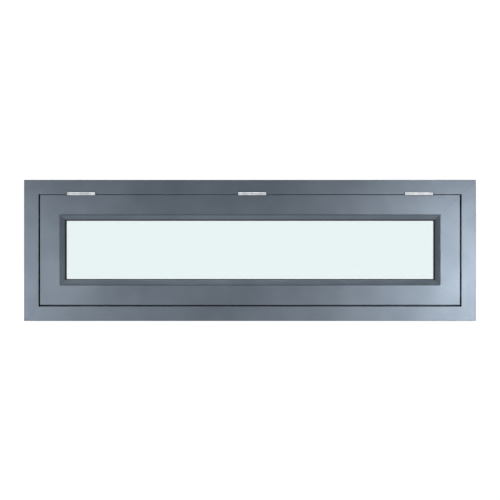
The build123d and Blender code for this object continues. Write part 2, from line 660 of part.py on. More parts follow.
with BuildPart() as arm_studs:
    with BuildSketch(level(FLOOR_LOW)):
        with Locations((-PIVOT_X, 0), (PIVOT_X, 0)):
            Circle(STUD_R)
    extrude(amount=COVER_IN - CASE_PLAY - FLOOR_LOW)
save(arm_studs, "arm_studs")

# worm spindle
CRANK_LOW = 27.0
CRANK_T = 8.0
SPINDLE_END = 40.0
THREAD_SINK = 0.2  # how far the thread's foot is let into the worm's core
FLANK = sin(radians(15.0))  # slope of a tooth's flank
with BuildPart() as worm_spindle:
    for start, stop, radius in (
        (FRONT_BLOCK[0] + WORM_PLAY, FRONT_BLOCK[1] + WORM_PLAY, FRONT_R),
        (FRONT_BLOCK[1] + WORM_PLAY, REAR_BLOCK[0] - WORM_PLAY, WORM_ROOT),
        (REAR_BLOCK[0] - WORM_PLAY, SPINDLE_END, REAR_R),
    ):
        with BuildSketch(shaft(0, start, WORM_LEVEL)):
            Circle(radius)
        extrude(amount=stop - start)
    # The helix starts above the worm, a quarter turn before its +x side.
    thread_from = links.from_local_coords((0, -THREAD_LEN / 2 - WORM_PITCH / 4, WORM_LEVEL))
    with BuildLine() as helix:
        Helix(
            pitch=WORM_PITCH,
            height=THREAD_LEN,
            radius=WORM_ROOT,
            center=thread_from,
            direction=links.y_dir,
        )
    thread_start = helix.line @ 0
    thread_run = helix.line % 0
    with BuildSketch(Plane(origin=thread_start, x_dir=links.z_dir, z_dir=thread_run)):
        with BuildLine():
            root_half = TOOTH / 2 + DEDENDUM * FLANK
            crest_half = TOOTH / 2 - ADDENDUM * FLANK
            Polyline(
                (-THREAD_SINK, -root_half),
                (ADDENDUM + DEDENDUM, -crest_half),
                (ADDENDUM + DEDENDUM, crest_half),
                (-THREAD_SINK, root_half),
                close=True,
            )
        make_face()
    sweep(path=helix.line, is_frenet=True)
save(worm_spindle, "worm_spindle")

# crank arm on the spindle's outer end, with its clamp screw and the knob on its axle
HUB_R = 8.0
TIP_R = 6.0
KNOB_AXLE_R = 2.5
KNOB_LOW = CRANK_LOW + CRANK_T + 1.0
KNOB_LEN = 26.0
KNOB_CAP = 4.5  # closed end of the knob beyond its axle
KNOB_FOOT = (6.0, 0.0)
KNOB_LIP = (6.8, 1.2)
KNOB_WAIST = (6.4, 9.1)
KNOB_SWELL = (8.0, 20.28)
KNOB_SHOULDER = (6.6, 24.4)
KNOB_CROWN = (4.5, 26.0)
CRANK_ANGLE = 40.0  # below the horizontal at rest
tip_x = CRANK_RADIUS * cos(radians(CRANK_ANGLE))
tip_level = WORM_LEVEL - CRANK_RADIUS * sin(radians(CRANK_ANGLE))
CLAMP_R = 1.6
CLAMP_KEY_R = 0.8
CLAMP_KEY_DEEP = 1.2
HUB_TAPER = 1.0  # the arm's sides start this far inside the hub and the tip
CRANK_ROUND = 1.5
clamp_plane = Plane(
    origin=links.from_local_coords((0, CRANK_LOW + CRANK_T / 2, WORM_LEVEL)),
    x_dir=links.y_dir,
    z_dir=links.z_dir,
)
with BuildPart() as crank_arm:
    with BuildSketch(shaft(0, CRANK_LOW, WORM_LEVEL)):
        with BuildLine(Rot(0, 0, CRANK_ANGLE)):
            Polyline(
                (0, HUB_TAPER - HUB_R),
                (CRANK_RADIUS, HUB_TAPER - TIP_R),
                (CRANK_RADIUS, TIP_R - HUB_TAPER),
                (0, HUB_R - HUB_TAPER),
                close=True,
            )
        make_face()
        Circle(HUB_R)
        with PolarLocations(CRANK_RADIUS, 1, CRANK_ANGLE):
            Circle(TIP_R)
    extrude(amount=CRANK_T)
    fillet(crank_arm.faces().sort_by(Axis(links.origin, links.y_dir))[-1].edges(), CRANK_ROUND)
    with BuildSketch(shaft(0, CRANK_LOW, WORM_LEVEL)):
        Circle(HUB_R)
    extrude(amount=SPINDLE_END - CRANK_LOW - 1)
    with BuildSketch(shaft(0, CRANK_LOW, WORM_LEVEL)):
        Circle(REAR_R + FIX_CLEAR)
        with PolarLocations(CRANK_RADIUS, 1, CRANK_ANGLE):
            Circle(KNOB_AXLE_R + FIX_CLEAR)
    extrude(amount=SPINDLE_END - CRANK_LOW, mode=Mode.SUBTRACT)
    with BuildSketch(clamp_plane.offset(REAR_R)):
        Circle(CLAMP_R + SCREW_CLEAR / 2)
    extrude(amount=HUB_R, mode=Mode.SUBTRACT)
save(crank_arm, "crank_arm")

with BuildPart() as clamp_screw:
    with BuildSketch(clamp_plane.offset(REAR_R + 0.1)):
        Circle(CLAMP_R)
    extrude(amount=HUB_R - REAR_R - 0.6)
    with BuildSketch(clamp_plane.offset(HUB_R - 0.5)):
        RegularPolygon(CLAMP_KEY_R, 6)
    extrude(amount=-CLAMP_KEY_DEEP, mode=Mode.SUBTRACT)
save(clamp_screw, "crank_clamp_screw")

with BuildPart() as knob_axle:
    with BuildSketch(shaft(tip_x, CRANK_LOW, tip_level)):
        Circle(KNOB_AXLE_R)
    extrude(amount=KNOB_LOW - CRANK_LOW + KNOB_LEN - KNOB_CAP - 0.5)
save(knob_axle, "knob_axle")

knob_plane = Plane(
    origin=links.from_local_coords((tip_x, KNOB_LOW, tip_level)), x_dir=links.x_dir, z_dir=links.z_dir
)
with BuildPart() as crank_knob:
    with BuildSketch(knob_plane):
        with BuildLine():
            Polyline((0, 0), KNOB_FOOT, KNOB_LIP)
            Spline(KNOB_LIP, KNOB_WAIST, KNOB_SWELL)
            Polyline(KNOB_SWELL, KNOB_SHOULDER, KNOB_CROWN, (0, KNOB_LEN), (0, 0))
        make_face()
    revolve(axis=Axis(knob_plane.origin, links.y_dir))
    with BuildSketch(shaft(tip_x, KNOB_LOW, tip_level)):
        Circle(KNOB_AXLE_R + RUN_CLEAR)
    extrude(amount=KNOB_LEN - KNOB_CAP, mode=Mode.SUBTRACT)
save(crank_knob, "crank_knob")

# toothed sectors, arms and links; the right one first, then its mirror image
SECTOR_ROOT = SECTOR_R - DEDENDUM
SECTOR_HUB = 8.5
TOOTH_STEP = 360.0 / FULL_TEETH
SWEEP_TEETH = OPEN_DEG / 2 / TOOTH_STEP  # teeth that pass the worm over the whole travel
COLLAR_R = 5.5
RIVET_R = 3.0
RIVET_HEAD_R = 5.0
RIVET_HEAD_T = 1.5
RIVET_PLAY = 0.3
ROOT_SINK = 0.3  # how far a tooth's root is let into the sector's rim
RIM_REACH = 0.45  # rim beyond the middle of an end tooth, in teeth
LINK_W = ARM_W - 2
BALL_CLEAR = 0.3
EYE_R = 7.5
EYE_T = 5.0
ARM_LEVEL = SECTOR_LEVEL + SECTOR_T

for side, sign, tooth_shift in (("right", 1, 0.5), ("left", -1, 0.0)):
    pivot_x = sign * PIVOT_X
    elbow_x = sign * (PIVOT_X + ARM_LEN)
    first_tooth = round(-SWEEP_TEETH - 1 - tooth_shift)
    tooth_count = int(SWEEP_TEETH) + 3
    with BuildPart() as sector:
        with BuildSketch(level(SECTOR_LEVEL, pivot_x)):
            Circle(SECTOR_HUB)
            low_angle = (first_tooth + tooth_shift - RIM_REACH) * TOOTH_STEP
            high_angle = (first_tooth + tooth_count - 1 + tooth_shift + RIM_REACH) * TOOTH_STEP
            with BuildLine():
                start, middle, stop = (
                    (-sign * SECTOR_ROOT * cos(radians(a)), SECTOR_ROOT * sin(radians(a)))
                    for a in (low_angle, (low_angle + high_angle) / 2, high_angle)
                )
                ThreePointArc(start, middle, stop)
                Polyline(stop, (0, SECTOR_HUB - 1), (0, -SECTOR_HUB + 1), start)
            make_face()
            for tooth in range(tooth_count):
                angle = (first_tooth + tooth + tooth_shift) * TOOTH_STEP
                with Locations(Rot(0, 0, 180 - angle if sign > 0 else angle)):
                    with Locations((SECTOR_R, 0)):
                        with BuildLine(mode=Mode.PRIVATE) as tooth_line:
                            Polyline(
                                (-DEDENDUM - ROOT_SINK, -TOOTH / 2 - DEDENDUM * FLANK),
                                (ADDENDUM, -TOOTH / 2 + ADDENDUM * FLANK),
                                (ADDENDUM, TOOTH / 2 - ADDENDUM * FLANK),
                                (-DEDENDUM - ROOT_SINK, TOOTH / 2 + DEDENDUM * FLANK),
                                close=True,
                            )
                        add(make_face(tooth_line.line, mode=Mode.PRIVATE))
            Circle(STUD_R + RUN_CLEAR, mode=Mode.SUBTRACT)
        extrude(amount=SECTOR_T)
    save(sector, f"{side}_gear_sector")

    with BuildPart() as arm:
        with BuildSketch(level(ARM_LEVEL, (pivot_x + elbow_x) / 2)):
            SlotCenterToCenter(ARM_LEN, ARM_W)
            with Locations((-sign * ARM_LEN / 2, 0)):
                Circle(STUD_R + RUN_CLEAR, mode=Mode.SUBTRACT)
            with Locations((sign * ARM_LEN / 2, 0)):
                Circle(RIVET_R + FIX_CLEAR, mode=Mode.SUBTRACT)
        extrude(amount=ARM_T)
    save(arm, f"{side}_arm")

    with BuildPart() as rivet:
        for low, high, radius in (
            (-LINK_T / 2 - RIVET_PLAY - RIVET_HEAD_T, -LINK_T / 2 - RIVET_PLAY, RIVET_HEAD_R),
            (-LINK_T / 2 - RIVET_PLAY, ARM_LEVEL + ARM_T, RIVET_R),
            (LINK_T / 2 + RIVET_PLAY, ARM_LEVEL, COLLAR_R),
            (ARM_LEVEL + ARM_T, ARM_LEVEL + ARM_T + RIVET_HEAD_T, RIVET_HEAD_R),
        ):
            with BuildSketch(level(low, elbow_x)):
                Circle(radius)
            extrude(amount=high - low)
    save(rivet, f"{side}_elbow_rivet")

    with BuildPart() as link:
        with BuildSketch(level(-LINK_T / 2, (pivot_x + elbow_x) / 2)):
            SlotCenterToCenter(ARM_LEN, LINK_W)
        extrude(amount=LINK_T)
        with BuildSketch(level(-EYE_T / 2, pivot_x)):
            Circle(EYE_R)
        extrude(amount=EYE_T)
        with BuildSketch(level(-EYE_T / 2, pivot_x)):
            Circle(BALL_R + BALL_CLEAR)
        extrude(amount=EYE_T, mode=Mode.SUBTRACT)
        with BuildSketch(level(-EYE_T / 2, elbow_x)):
            Circle(RIVET_R + RUN_CLEAR)
        extrude(amount=EYE_T, mode=Mode.SUBTRACT)
    save(link, f"{side}_link")

# sash brackets with the ball studs that the link eyes turn on
TAB_HIGH = -8.0
TAB_LOW = -11.0
TAB_W = 16.0
TAB_END = 9.0
TAB_JOIN = -22.5
STUD_NECK_R = 2.0
STUD_SHANK_R = 2.5
STUD_TAIL = 0.4
STUD_FLANGE = 1.5
BRACKET_CORNER_R = 3.0
TAB_CORNER_R = 4.0
BRACKET_HEAD_R = 3.8
BRACKET_HEAD_T = 2.0
BRACKET_HEAD_ROUND = 0.9
sash_back_y = -SASH_BACK
plate_y = sash_back_y + BRACKET_T


def in_yz(local_y, height):
    """World (y, z) of a point given in the links' plane."""
    point = links.from_local_coords((0, local_y, height))
    return (point.Y, point.Z)


for side, sign in (("right", 1), ("left", -1)):
    pivot_x = sign * PIVOT_X
    with BuildPart() as bracket:
        with BuildSketch(WORLD_OUT.offset(-plate_y)):
            with Locations((pivot_x, (BRACKET_LOW + BRACKET_HIGH) / 2)):
                RectangleRounded(BRACKET_W, BRACKET_HIGH - BRACKET_LOW, BRACKET_CORNER_R)
            with Locations((pivot_x, BRACKET_SCREW_Z)):
                with GridLocations(2 * BRACKET_SCREW_X, 0, 2, 1):
                    Circle(BASE_SCREW_R + SCREW_CLEAR, mode=Mode.SUBTRACT)
        extrude(amount=BRACKET_T)
        with BuildSketch(Plane(origin=(pivot_x - TAB_W / 2, 0, 0), x_dir=(0, 1, 0), z_dir=(1, 0, 0))):
            with BuildLine():
                Polyline(
                    in_yz(TAB_JOIN, TAB_LOW),
                    in_yz(TAB_END, TAB_LOW),
                    in_yz(TAB_END, TAB_HIGH),
                    in_yz(TAB_JOIN, TAB_HIGH),
                    close=True,
                )
            make_face()
        extrude(amount=TAB_W)
        with BuildSketch(level(TAB_LOW, pivot_x)):
            Circle(STUD_SHANK_R + FIX_CLEAR)
        extrude(amount=TAB_HIGH - TAB_LOW, mode=Mode.SUBTRACT)
        tab_corners = bracket.edges().filter_by(Axis(links.origin, links.z_dir)).sort_by(Axis.Y)[-2:]
        fillet(tab_corners, TAB_CORNER_R)
    save(bracket, f"{side}_sash_bracket")

    with BuildPart() as ball_stud:
        with BuildSketch(level(TAB_LOW - STUD_TAIL, pivot_x)):
            Circle(STUD_SHANK_R)
        extrude(amount=TAB_HIGH - TAB_LOW + STUD_TAIL)
        with BuildSketch(level(TAB_HIGH, pivot_x)):
            Circle(STUD_SHANK_R + STUD_FLANGE)
        extrude(amount=STUD_FLANGE)
        with BuildSketch(level(TAB_HIGH, pivot_x)):
            Circle(STUD_NECK_R)
        extrude(amount=-TAB_HIGH)
        with Locations(level(0, pivot_x).location):
            Sphere(BALL_R)
    save(ball_stud, f"{side}_ball_stud")

with BuildPart() as bracket_screws:
    for radius, amount in (
        (BASE_SCREW_R, BRACKET_T + WALL + BASE_SCREW_BITE),
        (BRACKET_HEAD_R, -BRACKET_HEAD_T),
    ):
        with BuildSketch(WORLD_OUT.offset(-plate_y)):
            with Locations((-PIVOT_X, BRACKET_SCREW_Z), (PIVOT_X, BRACKET_SCREW_Z)):
                with GridLocations(2 * BRACKET_SCREW_X, 0, 2, 1):
                    Circle(radius)
        extrude(amount=amount)
    fillet(bracket_screws.faces().sort_by(Axis.Y)[-4:].edges(), BRACKET_HEAD_ROUND)
save(bracket_screws, "sash_bracket_screws")
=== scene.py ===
"""Looks of a top-hung window with a crank operator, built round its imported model.

Every object is in metres in the model's own frame: +Z up, +X along the width, outside towards -Y.
Sizes written in the classes are millimetres, as a window maker writes them; mm() and at() turn
them to metres.
"""

from __future__ import annotations

import json
import logging
import math
from dataclasses import dataclass, field
from enum import Enum
from functools import cache
from typing import Iterable, Sequence

import bmesh
import bpy
from mathutils import Matrix, Vector

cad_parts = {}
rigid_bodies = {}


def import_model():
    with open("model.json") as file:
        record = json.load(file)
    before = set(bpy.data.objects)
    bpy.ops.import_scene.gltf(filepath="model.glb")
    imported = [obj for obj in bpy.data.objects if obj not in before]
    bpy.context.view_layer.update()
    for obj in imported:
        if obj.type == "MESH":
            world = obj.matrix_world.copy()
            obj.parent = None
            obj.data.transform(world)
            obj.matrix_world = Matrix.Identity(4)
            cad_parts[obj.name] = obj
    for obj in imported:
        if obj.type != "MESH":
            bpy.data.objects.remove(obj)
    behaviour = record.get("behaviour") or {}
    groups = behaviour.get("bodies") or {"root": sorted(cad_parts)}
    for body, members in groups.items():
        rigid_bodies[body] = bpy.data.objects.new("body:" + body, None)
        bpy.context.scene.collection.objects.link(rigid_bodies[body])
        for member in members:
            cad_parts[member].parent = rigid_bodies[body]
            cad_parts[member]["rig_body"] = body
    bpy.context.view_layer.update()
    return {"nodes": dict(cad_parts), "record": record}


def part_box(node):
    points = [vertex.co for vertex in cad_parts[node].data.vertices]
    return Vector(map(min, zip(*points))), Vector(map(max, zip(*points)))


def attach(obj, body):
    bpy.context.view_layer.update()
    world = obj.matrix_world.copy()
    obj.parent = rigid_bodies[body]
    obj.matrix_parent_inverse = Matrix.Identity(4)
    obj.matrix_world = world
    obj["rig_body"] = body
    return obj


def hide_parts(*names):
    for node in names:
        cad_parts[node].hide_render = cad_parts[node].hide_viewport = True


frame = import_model()

LOG = logging.getLogger("window")
MM = 0.001
SMOOTH_DEG = 35.0  # faces that meet at less than this are shaded as one
SHARP_DEG = 40.0  # edges sharper than this are rounded off
RIM_ANGLE = 1.0  # radians: the faces at a rod's rim meet at more than this
WHITE = (1.0, 1.0, 1.0, 1.0)
WELD_MM = 0.005  # points of a turned shape closer than this are one
COPY_WELD_MM = 0.002  # points of a copied node closer than this are one
FLAT_DEG = 1.0  # faces of a copied node that meet at less than this are one
Point = tuple[float, float]
Point3 = tuple[float, float, float]


def mm(length: float) -> float:
    """Turn a length in millimetres to metres."""
    return length * MM


def at(x: float, y: float, z: float) -> Vector:
    """Turn a place in millimetres to a vector in metres."""
    return Vector((x, y, z)) * MM


# ------------------------------------------------------------------ materials
def srgb(code: str) -> tuple[float, float, float, float]:
    """Turn an sRGB hex colour into a linear RGBA colour.

    Args:
        code: Colour such as "#5c6670".

    Returns:
        Linear red, green, blue and an alpha of one.
    """
    channels = [int(code[i : i + 2], 16) / 255 for i in (1, 3, 5)]
    linear = [c / 12.92 if c <= 0.04045 else ((c + 0.055) / 1.055) ** 2.4 for c in channels]
    return (*linear, 1.0)


def add_node(
    tree: bpy.types.NodeTree, kind: str, settings: dict | None = None, inputs: dict | None = None
) -> bpy.types.Node:
    """Add a node with its settings and links.

    Args:
        tree: Node tree that takes the node.
        kind: Blender's name of the node type.
        settings: Properties of the node by name.
        inputs: Value, or socket to link from, for inputs by name or number.

    Returns:
        The new node.
    """
    made = tree.nodes.new(kind)
    for name, value in (settings or {}).items():
        setattr(made, name, value)
    for key, value in (inputs or {}).items():
        if isinstance(value, bpy.types.NodeSocket):
            tree.links.new(value, made.inputs[key])
        else:
            made.inputs[key].default_value = value
    return made


def ramp(
    tree: bpy.types.NodeTree, source: bpy.types.NodeSocket, stops: Sequence[tuple[float, str]]
) -> bpy.types.NodeSocket:
    """Colour a value with a ramp.

    Args:
        tree: Node tree that takes the ramp.
        source: Socket that gives the value.
        stops: Positions with their hex colours, low to high.

    Returns:
        The ramp's colour socket.
    """
    made = add_node(tree, "ShaderNodeValToRGB", inputs={"Fac": source})
    elements = made.color_ramp.elements
    while len(elements) < len(stops):
        elements.new(0.5)
    for element, (place, code) in zip(elements, stops):
        element.position = place
        element.color = srgb(code)
    return made.outputs["Color"]


@dataclass(frozen=True)
class Finish:
    """A surface finish: what it is made of, and how its material is drawn."""

    name: str
    slot: str

    def start(self) -> tuple[bpy.types.Material, bpy.types.NodeTree, bpy.types.Node]:
        """Make an empty node material and its Principled shader.

        Returns:
            The material, its node tree and the shader node.
        """
        made = bpy.data.materials.new(self.name)
        made.use_nodes = True
        return made, made.node_tree, made.node_tree.nodes["Principled BSDF"]

    def grain(
        self, tree: bpy.types.NodeTree, size_mm: float, stretch: Point3 = (1, 1, 1), detail: float = 3.0
    ) -> bpy.types.NodeSocket:
        """Lay noise whose waves are about size_mm long, in object space.

        Args:
            tree: Node tree that takes the noise.
            size_mm: Length of one wave.
            stretch: How much longer the waves are along X, Y and Z.
            detail: Octaves of finer noise.

        Returns:
            The noise's value socket, about 0.5 on average.
        """
        coordinates = add_node(tree, "ShaderNodeTexCoord")
        mapping = add_node(
            tree,
            "ShaderNodeMapping",
            inputs={"Vector": coordinates.outputs["Object"], "Scale": tuple(1 / s for s in stretch)},
        )
        noise = add_node(
            tree,
            "ShaderNodeTexNoise",
            inputs={"Vector": mapping.outputs["Vector"], "Scale": 1 / mm(size_mm), "Detail": detail},
        )
        return noise.outputs["Fac"]

    def spread(
        self, tree: bpy.types.NodeTree, source: bpy.types.NodeSocket, low: float, high: float
    ) -> bpy.types.NodeSocket:
        """Map a noise value to a range.

        Args:
            tree: Node tree that takes the node.
            source: Socket with values about 0.3 to 0.7.
            low: Result at the low end.
            high: Result at the high end.

        Returns:
            The mapped value's socket.
        """
        made = add_node(
            tree,
            "ShaderNodeMapRange",
            inputs={"Value": source, "From Min": 0.3, "From Max": 0.7, "To Min": low, "To Max": high},
        )
        return made.outputs["Result"]

    def bump(
        self, tree: bpy.types.NodeTree, height: bpy.types.NodeSocket, depth_mm: float
    ) -> bpy.types.NodeSocket:
        """Bump from a height value.

        Args:
            tree: Node tree that takes the node.
            height: Socket that gives the height, 0 to 1.
            depth_mm: What a height of one stands for.

        Returns:
            The bumped normal's socket.
        """
        inputs = {"Height": height, "Distance": mm(depth_mm), "Strength": 1.0}
        return add_node(tree, "ShaderNodeBump", inputs=inputs).outputs["Normal"]

    def cells(
        self, tree: bpy.types.NodeTree, size_mm: float, feature: str = "F1"
    ) -> bpy.types.NodeSocket:
        """Lay cells about size_mm across, in object space.

        Args:
            tree: Node tree that takes the cells.
            size_mm: Width of one cell.
            feature: Blender's name of what is measured in a cell.

        Returns:
            Socket with the distance from a cell's middle.
        """
        coordinates = add_node(tree, "ShaderNodeTexCoord")
        inputs = {"Vector": coordinates.outputs["Object"], "Scale": 1 / mm(size_mm)}
        return add_node(tree, "ShaderNodeTexVoronoi", {"feature": feature}, inputs).outputs["Distance"]

    def link(self, tree: bpy.types.NodeTree, shader: bpy.types.Node, **sources: bpy.types.NodeSocket) -> None:
        """Link sockets to the shader's inputs, underscores standing for spaces."""
        for name, source in sources.items():
            tree.links.new(source, shader.inputs[name.replace("_", " ")])

    def draw(self) -> bpy.types.Material:
        """Draw the material; each finish has its own way."""
        raise NotImplementedError


@dataclass(frozen=True)
class PowderCoat(Finish):
    """Polyester powder baked on metal: a satin skin with a faint orange peel and fine aluminium flake."""

    dark: str = "#57606a"
    light: str = "#606973"
    roughness: Point = (0.3, 0.34)
    metallic: float = 0.65  # share of the sheen that the flake gives
    ior: float = 1.5
    cloud_mm: float = 90.0
    flake_mm: float = 0.9
    peel_mm: float = 2.4
    peel_depth_mm: float = 0.01

    def draw(self) -> bpy.types.Material:
        """Draw cloudy slate paint whose melt ripple breaks up its sheen.

        Returns:
            The material.
        """
        made, tree, shader = self.start()
        clouds = self.grain(tree, self.cloud_mm, detail=2.0)
        flake = self.grain(tree, self.flake_mm, detail=1.0)
        peel = self.grain(tree, self.peel_mm, detail=1.5)
        self.link(
            tree,
            shader,
            Base_Color=ramp(tree, clouds, [(0.3, self.dark), (0.7, self.light)]),
            Roughness=self.spread(tree, flake, *self.roughness),
            Normal=self.bump(tree, peel, self.peel_depth_mm),
        )
        shader.inputs["Metallic"].default_value = self.metallic
        shader.inputs["IOR"].default_value = self.ior
        return made


@dataclass(frozen=True)
class FloatGlass(Finish):
    """Float glass: clear with a pale cyan cast and the long, shallow wave that the rollers leave."""

    tint: str = "#f9ffff"
    ior: float = 1.52
    wave_mm: float = 180.0
    wave_depth_mm: float = 0.02
    wave_along: Point3 = (3, 1, 1)
    haze_mm: float = 25.0
    roughness: Point = (0.0, 0.006)

    def draw(self) -> bpy.types.Material:
        """Draw clear glass with roller wave and a trace of haze.

        Returns:
            The material.
        """
        made, tree, shader = self.start()
        wave = self.grain(tree, self.wave_mm, stretch=self.wave_along, detail=0.0)
        haze = self.grain(tree, self.haze_mm, detail=4.0)
        self.link(
            tree,
            shader,
            Normal=self.bump(tree, wave, self.wave_depth_mm),
            Roughness=self.spread(tree, haze, *self.roughness),
        )
        shader.inputs["Base Color"].default_value = srgb(self.tint)
        shader.inputs["Transmission Weight"].default_value = 1.0
        shader.inputs["IOR"].default_value = self.ior
        return made


@dataclass(frozen=True)
class ExtrudedRubber(Finish):
    """EPDM drawn through a die: matt black, greyed by talc dust."""

    dark: str = "#0c0e10"
    dusty: str = "#1a1c1f"
    roughness: Point = (0.62, 0.82)
    dust_mm: float = 6.0
    skin_mm: float = 0.6
    skin_depth_mm: float = 0.02

    def draw(self) -> bpy.types.Material:
        """Draw black rubber with a dusty bloom.

        Returns:
            The material.
        """
        made, tree, shader = self.start()
        dust = self.grain(tree, self.dust_mm, detail=5.0)
        skin = self.grain(tree, self.skin_mm, detail=2.0)
        self.link(
            tree,
            shader,
            Base_Color=ramp(tree, dust, [(0.35, self.dark), (0.75, self.dusty)]),
            Roughness=self.spread(tree, dust, *self.roughness),
            Normal=self.bump(tree, skin, self.skin_depth_mm),
        )
        return made


@dataclass(frozen=True)
class Metal(Finish):
    """Bare or plated metal: tone, roughness and the direction of its finest scratches."""

    dark: str = "#c9cccf"
    light: str = "#f2f4f5"
    roughness: Point = (0.22, 0.34)
    patch_mm: float = 14.0
    scratch_mm: float = 0.5
    along: Point3 = (30.0, 1.0, 1.0)
    scratch_depth_mm: float = 0.004

    def draw(self) -> bpy.types.Material:
        """Draw metal with long fine scratches and soft patches.

        Returns:
            The material.
        """
        made, tree, shader = self.start()
        patches = self.grain(tree, self.patch_mm, detail=3.0)
        scratches = self.grain(tree, self.scratch_mm, stretch=self.along, detail=2.0)
        self.link(
            tree,
            shader,
            Base_Color=ramp(tree, patches, [(0.3, self.dark), (0.7, self.light)]),
            Roughness=self.spread(tree, scratches, *self.roughness),
            Normal=self.bump(tree, scratches, self.scratch_depth_mm),
        )
        shader.inputs["Metallic"].default_value = 1.0
        return made


@dataclass(frozen=True)
class ZincPlate(Finish):
    """Bright zinc with a blue passivate: silver with a faint blue and straw cast in soft crystals."""

    blue: str = "#aab4be"
    silver: str = "#c3c7ca"
    straw: str = "#c9c6bb"
    roughness: Point = (0.26, 0.36)
    cast_mm: float = 22.0
    crystal_mm: float = 1.6
    rolled_mm: float = 0.7
    rolled_along: Point3 = (12, 1, 1)
    rolled_depth_mm: float = 0.004

    def draw(self) -> bpy.types.Material:
        """Draw plated strip with a fine crystal pattern.

        Returns:
            The material.
        """
        made, tree, shader = self.start()
        cast = self.grain(tree, self.cast_mm, detail=2.0)
        crystals = self.cells(tree, self.crystal_mm)
        rolled = self.grain(tree, self.rolled_mm, stretch=self.rolled_along)
        self.link(
            tree,
            shader,
            Base_Color=ramp(tree, cast, [(0.3, self.blue), (0.5, self.silver), (0.7, self.straw)]),
            Roughness=self.spread(tree, crystals, *self.roughness),
            Normal=self.bump(tree, rolled, self.rolled_depth_mm),
        )
        shader.inputs["Metallic"].default_value = 1.0
        return made


@dataclass(frozen=True)
class MouldedPlastic(Finish):
    """Moulded nylon: the tool's spark-eroded grain leaves a fine matt texture."""

    dark: str = "#15171a"
    light: str = "#1f2226"
    grain_mm: float = 0.7
    grain_depth_mm: float = 0.03
    patch_mm: float = 8.0
    roughness: Point = (0.42, 0.55)
    ior: float = 1.53

    def draw(self) -> bpy.types.Material:
        """Draw dark nylon with a pebbled skin.

        Returns:
            The material.
        """
        made, tree, shader = self.start()
        pebbles = self.cells(tree, self.grain_mm, "SMOOTH_F1")
        patches = self.grain(tree, self.patch_mm)
        self.link(
            tree,
            shader,
            Base_Color=ramp(tree, patches, [(0.3, self.dark), (0.7, self.light)]),
            Roughness=self.spread(tree, patches, *self.roughness),
            Normal=self.bump(tree, pebbles, self.grain_depth_mm),
        )
        shader.inputs["IOR"].default_value = self.ior
        return made


class Surface(Enum):
    """The finishes of this window, one for each material slot."""

    FRAME = PowderCoat("slate_powder_coat", "frame_coating")
    OPERATOR = PowderCoat("slate_cast_coat", "operator_coating", peel_mm=1.6, peel_depth_mm=0.012)
    GLASS = FloatGlass("pale_float_glass", "pale_glass")
    RUBBER = ExtrudedRubber("black_epdm", "black_rubber")
    HINGE = Metal("bright_anodised_aluminium", "hinge_aluminium", "#b0b3b6", "#d2d4d6", (0.28, 0.4))
    CAST = Metal(
        "bare_die_casting", "cast_cleat", "#8f9193", "#a7a9ab", (0.45, 0.6), 9.0, 1.2, (1, 1, 1), 0.02
    )
    SPACER = Metal("mill_aluminium", "spacer_aluminium", "#a9acaf", "#c4c7c9")
    PIN = Metal("ground_stainless", "pin_steel", "#a3a4a6", "#c2c3c5", (0.18, 0.3))
    ZINC = ZincPlate("bright_zinc_plate", "zinc_steel")
    FASTENER = Metal(
        "bright_screw_steel", "fastener_steel", "#96989b", "#bcbec1", (0.24, 0.38), 3.0, 0.3, (1, 8, 1)
    )
    BRASS = Metal("turned_brass", "bush_brass", "#a97f3c", "#d2aa5c", (0.2, 0.32), 4.0, 0.3, (8, 1, 8))
    KNOB = MouldedPlastic("grained_nylon", "knob_plastic")
    BLOCK = MouldedPlastic("block_polypropylene", "block_plastic", "#20262b", "#2b3238", 1.2)

    @cache
    def material(self) -> bpy.types.Material:
        """Draw the finish's material, once."""
        return self.value.draw()

    @classmethod
    def of_slot(cls, slot: str) -> Surface:
        """Find the finish of a material slot."""
        return next(surface for surface in cls if surface.value.slot == slot)


# ------------------------------------------------------------------ mesh helpers
def ease(made: bpy.types.Object, width_mm: float) -> None:
    """Round off the sharp edges of an object by a width in millimetres."""
    modifier = made.modifiers.new("eased", "BEVEL")
    modifier.width = mm(width_mm)
    modifier.segments = 2
    modifier.limit_method = "ANGLE"
    modifier.angle_limit = math.radians(SHARP_DEG)


def weigh_normals(made: bpy.types.Object) -> None:
    """Let broad faces keep their own shading, so that only the rounded edges bend the light."""
    modifier = made.modifiers.new("weighted", "WEIGHTED_NORMAL")
    modifier.mode = "FACE_AREA"
    modifier.weight = 100
    modifier.keep_sharp = True


def piece(
    name: str,
    bm: bmesh.types.BMesh,
    surface: Surface,
    body: str,
    replaces: Iterable[str] = (),
    cutters: bmesh.types.BMesh | None = None,
    eased_mm: float = 0.0,
) -> bpy.types.Object:
    """Turn a finished bmesh into an object of the window.

    Args:
        name: The piece's name.
        bm: Its mesh, in place; it is freed.
        surface: Its finish.
        body: Moving body that it rides on.
        replaces: Nodes of the model that it stands for.
        cutters: Closed shapes to cut out of it.
        eased_mm: Width of a bevel on all of its sharp edges; none where zero.

    Returns:
        The new object.
    """
    bmesh.ops.recalc_face_normals(bm, faces=bm.faces)
    for face in bm.faces:
        face.smooth = True
    for edge in bm.edges:
        edge.smooth = len(edge.link_faces) == 2 and edge.calc_face_angle(0.0) < math.radians(SMOOTH_DEG)
    mesh = bpy.data.meshes.new(name)
    bm.to_mesh(mesh)
    bm.free()
    made = bpy.data.objects.new(name, mesh)
    bpy.context.scene.collection.objects.link(made)
    if cutters:
        cut(made, cutters)
    made.data.materials.clear()
    made.data.materials.append(surface.material())
    if eased_mm:
        ease(made, eased_mm)
    weigh_normals(made)
    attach(made, body)
    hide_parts(*replaces)
    LOG.info("%s: %d faces on %s", name, len(made.data.polygons), body)
    return made


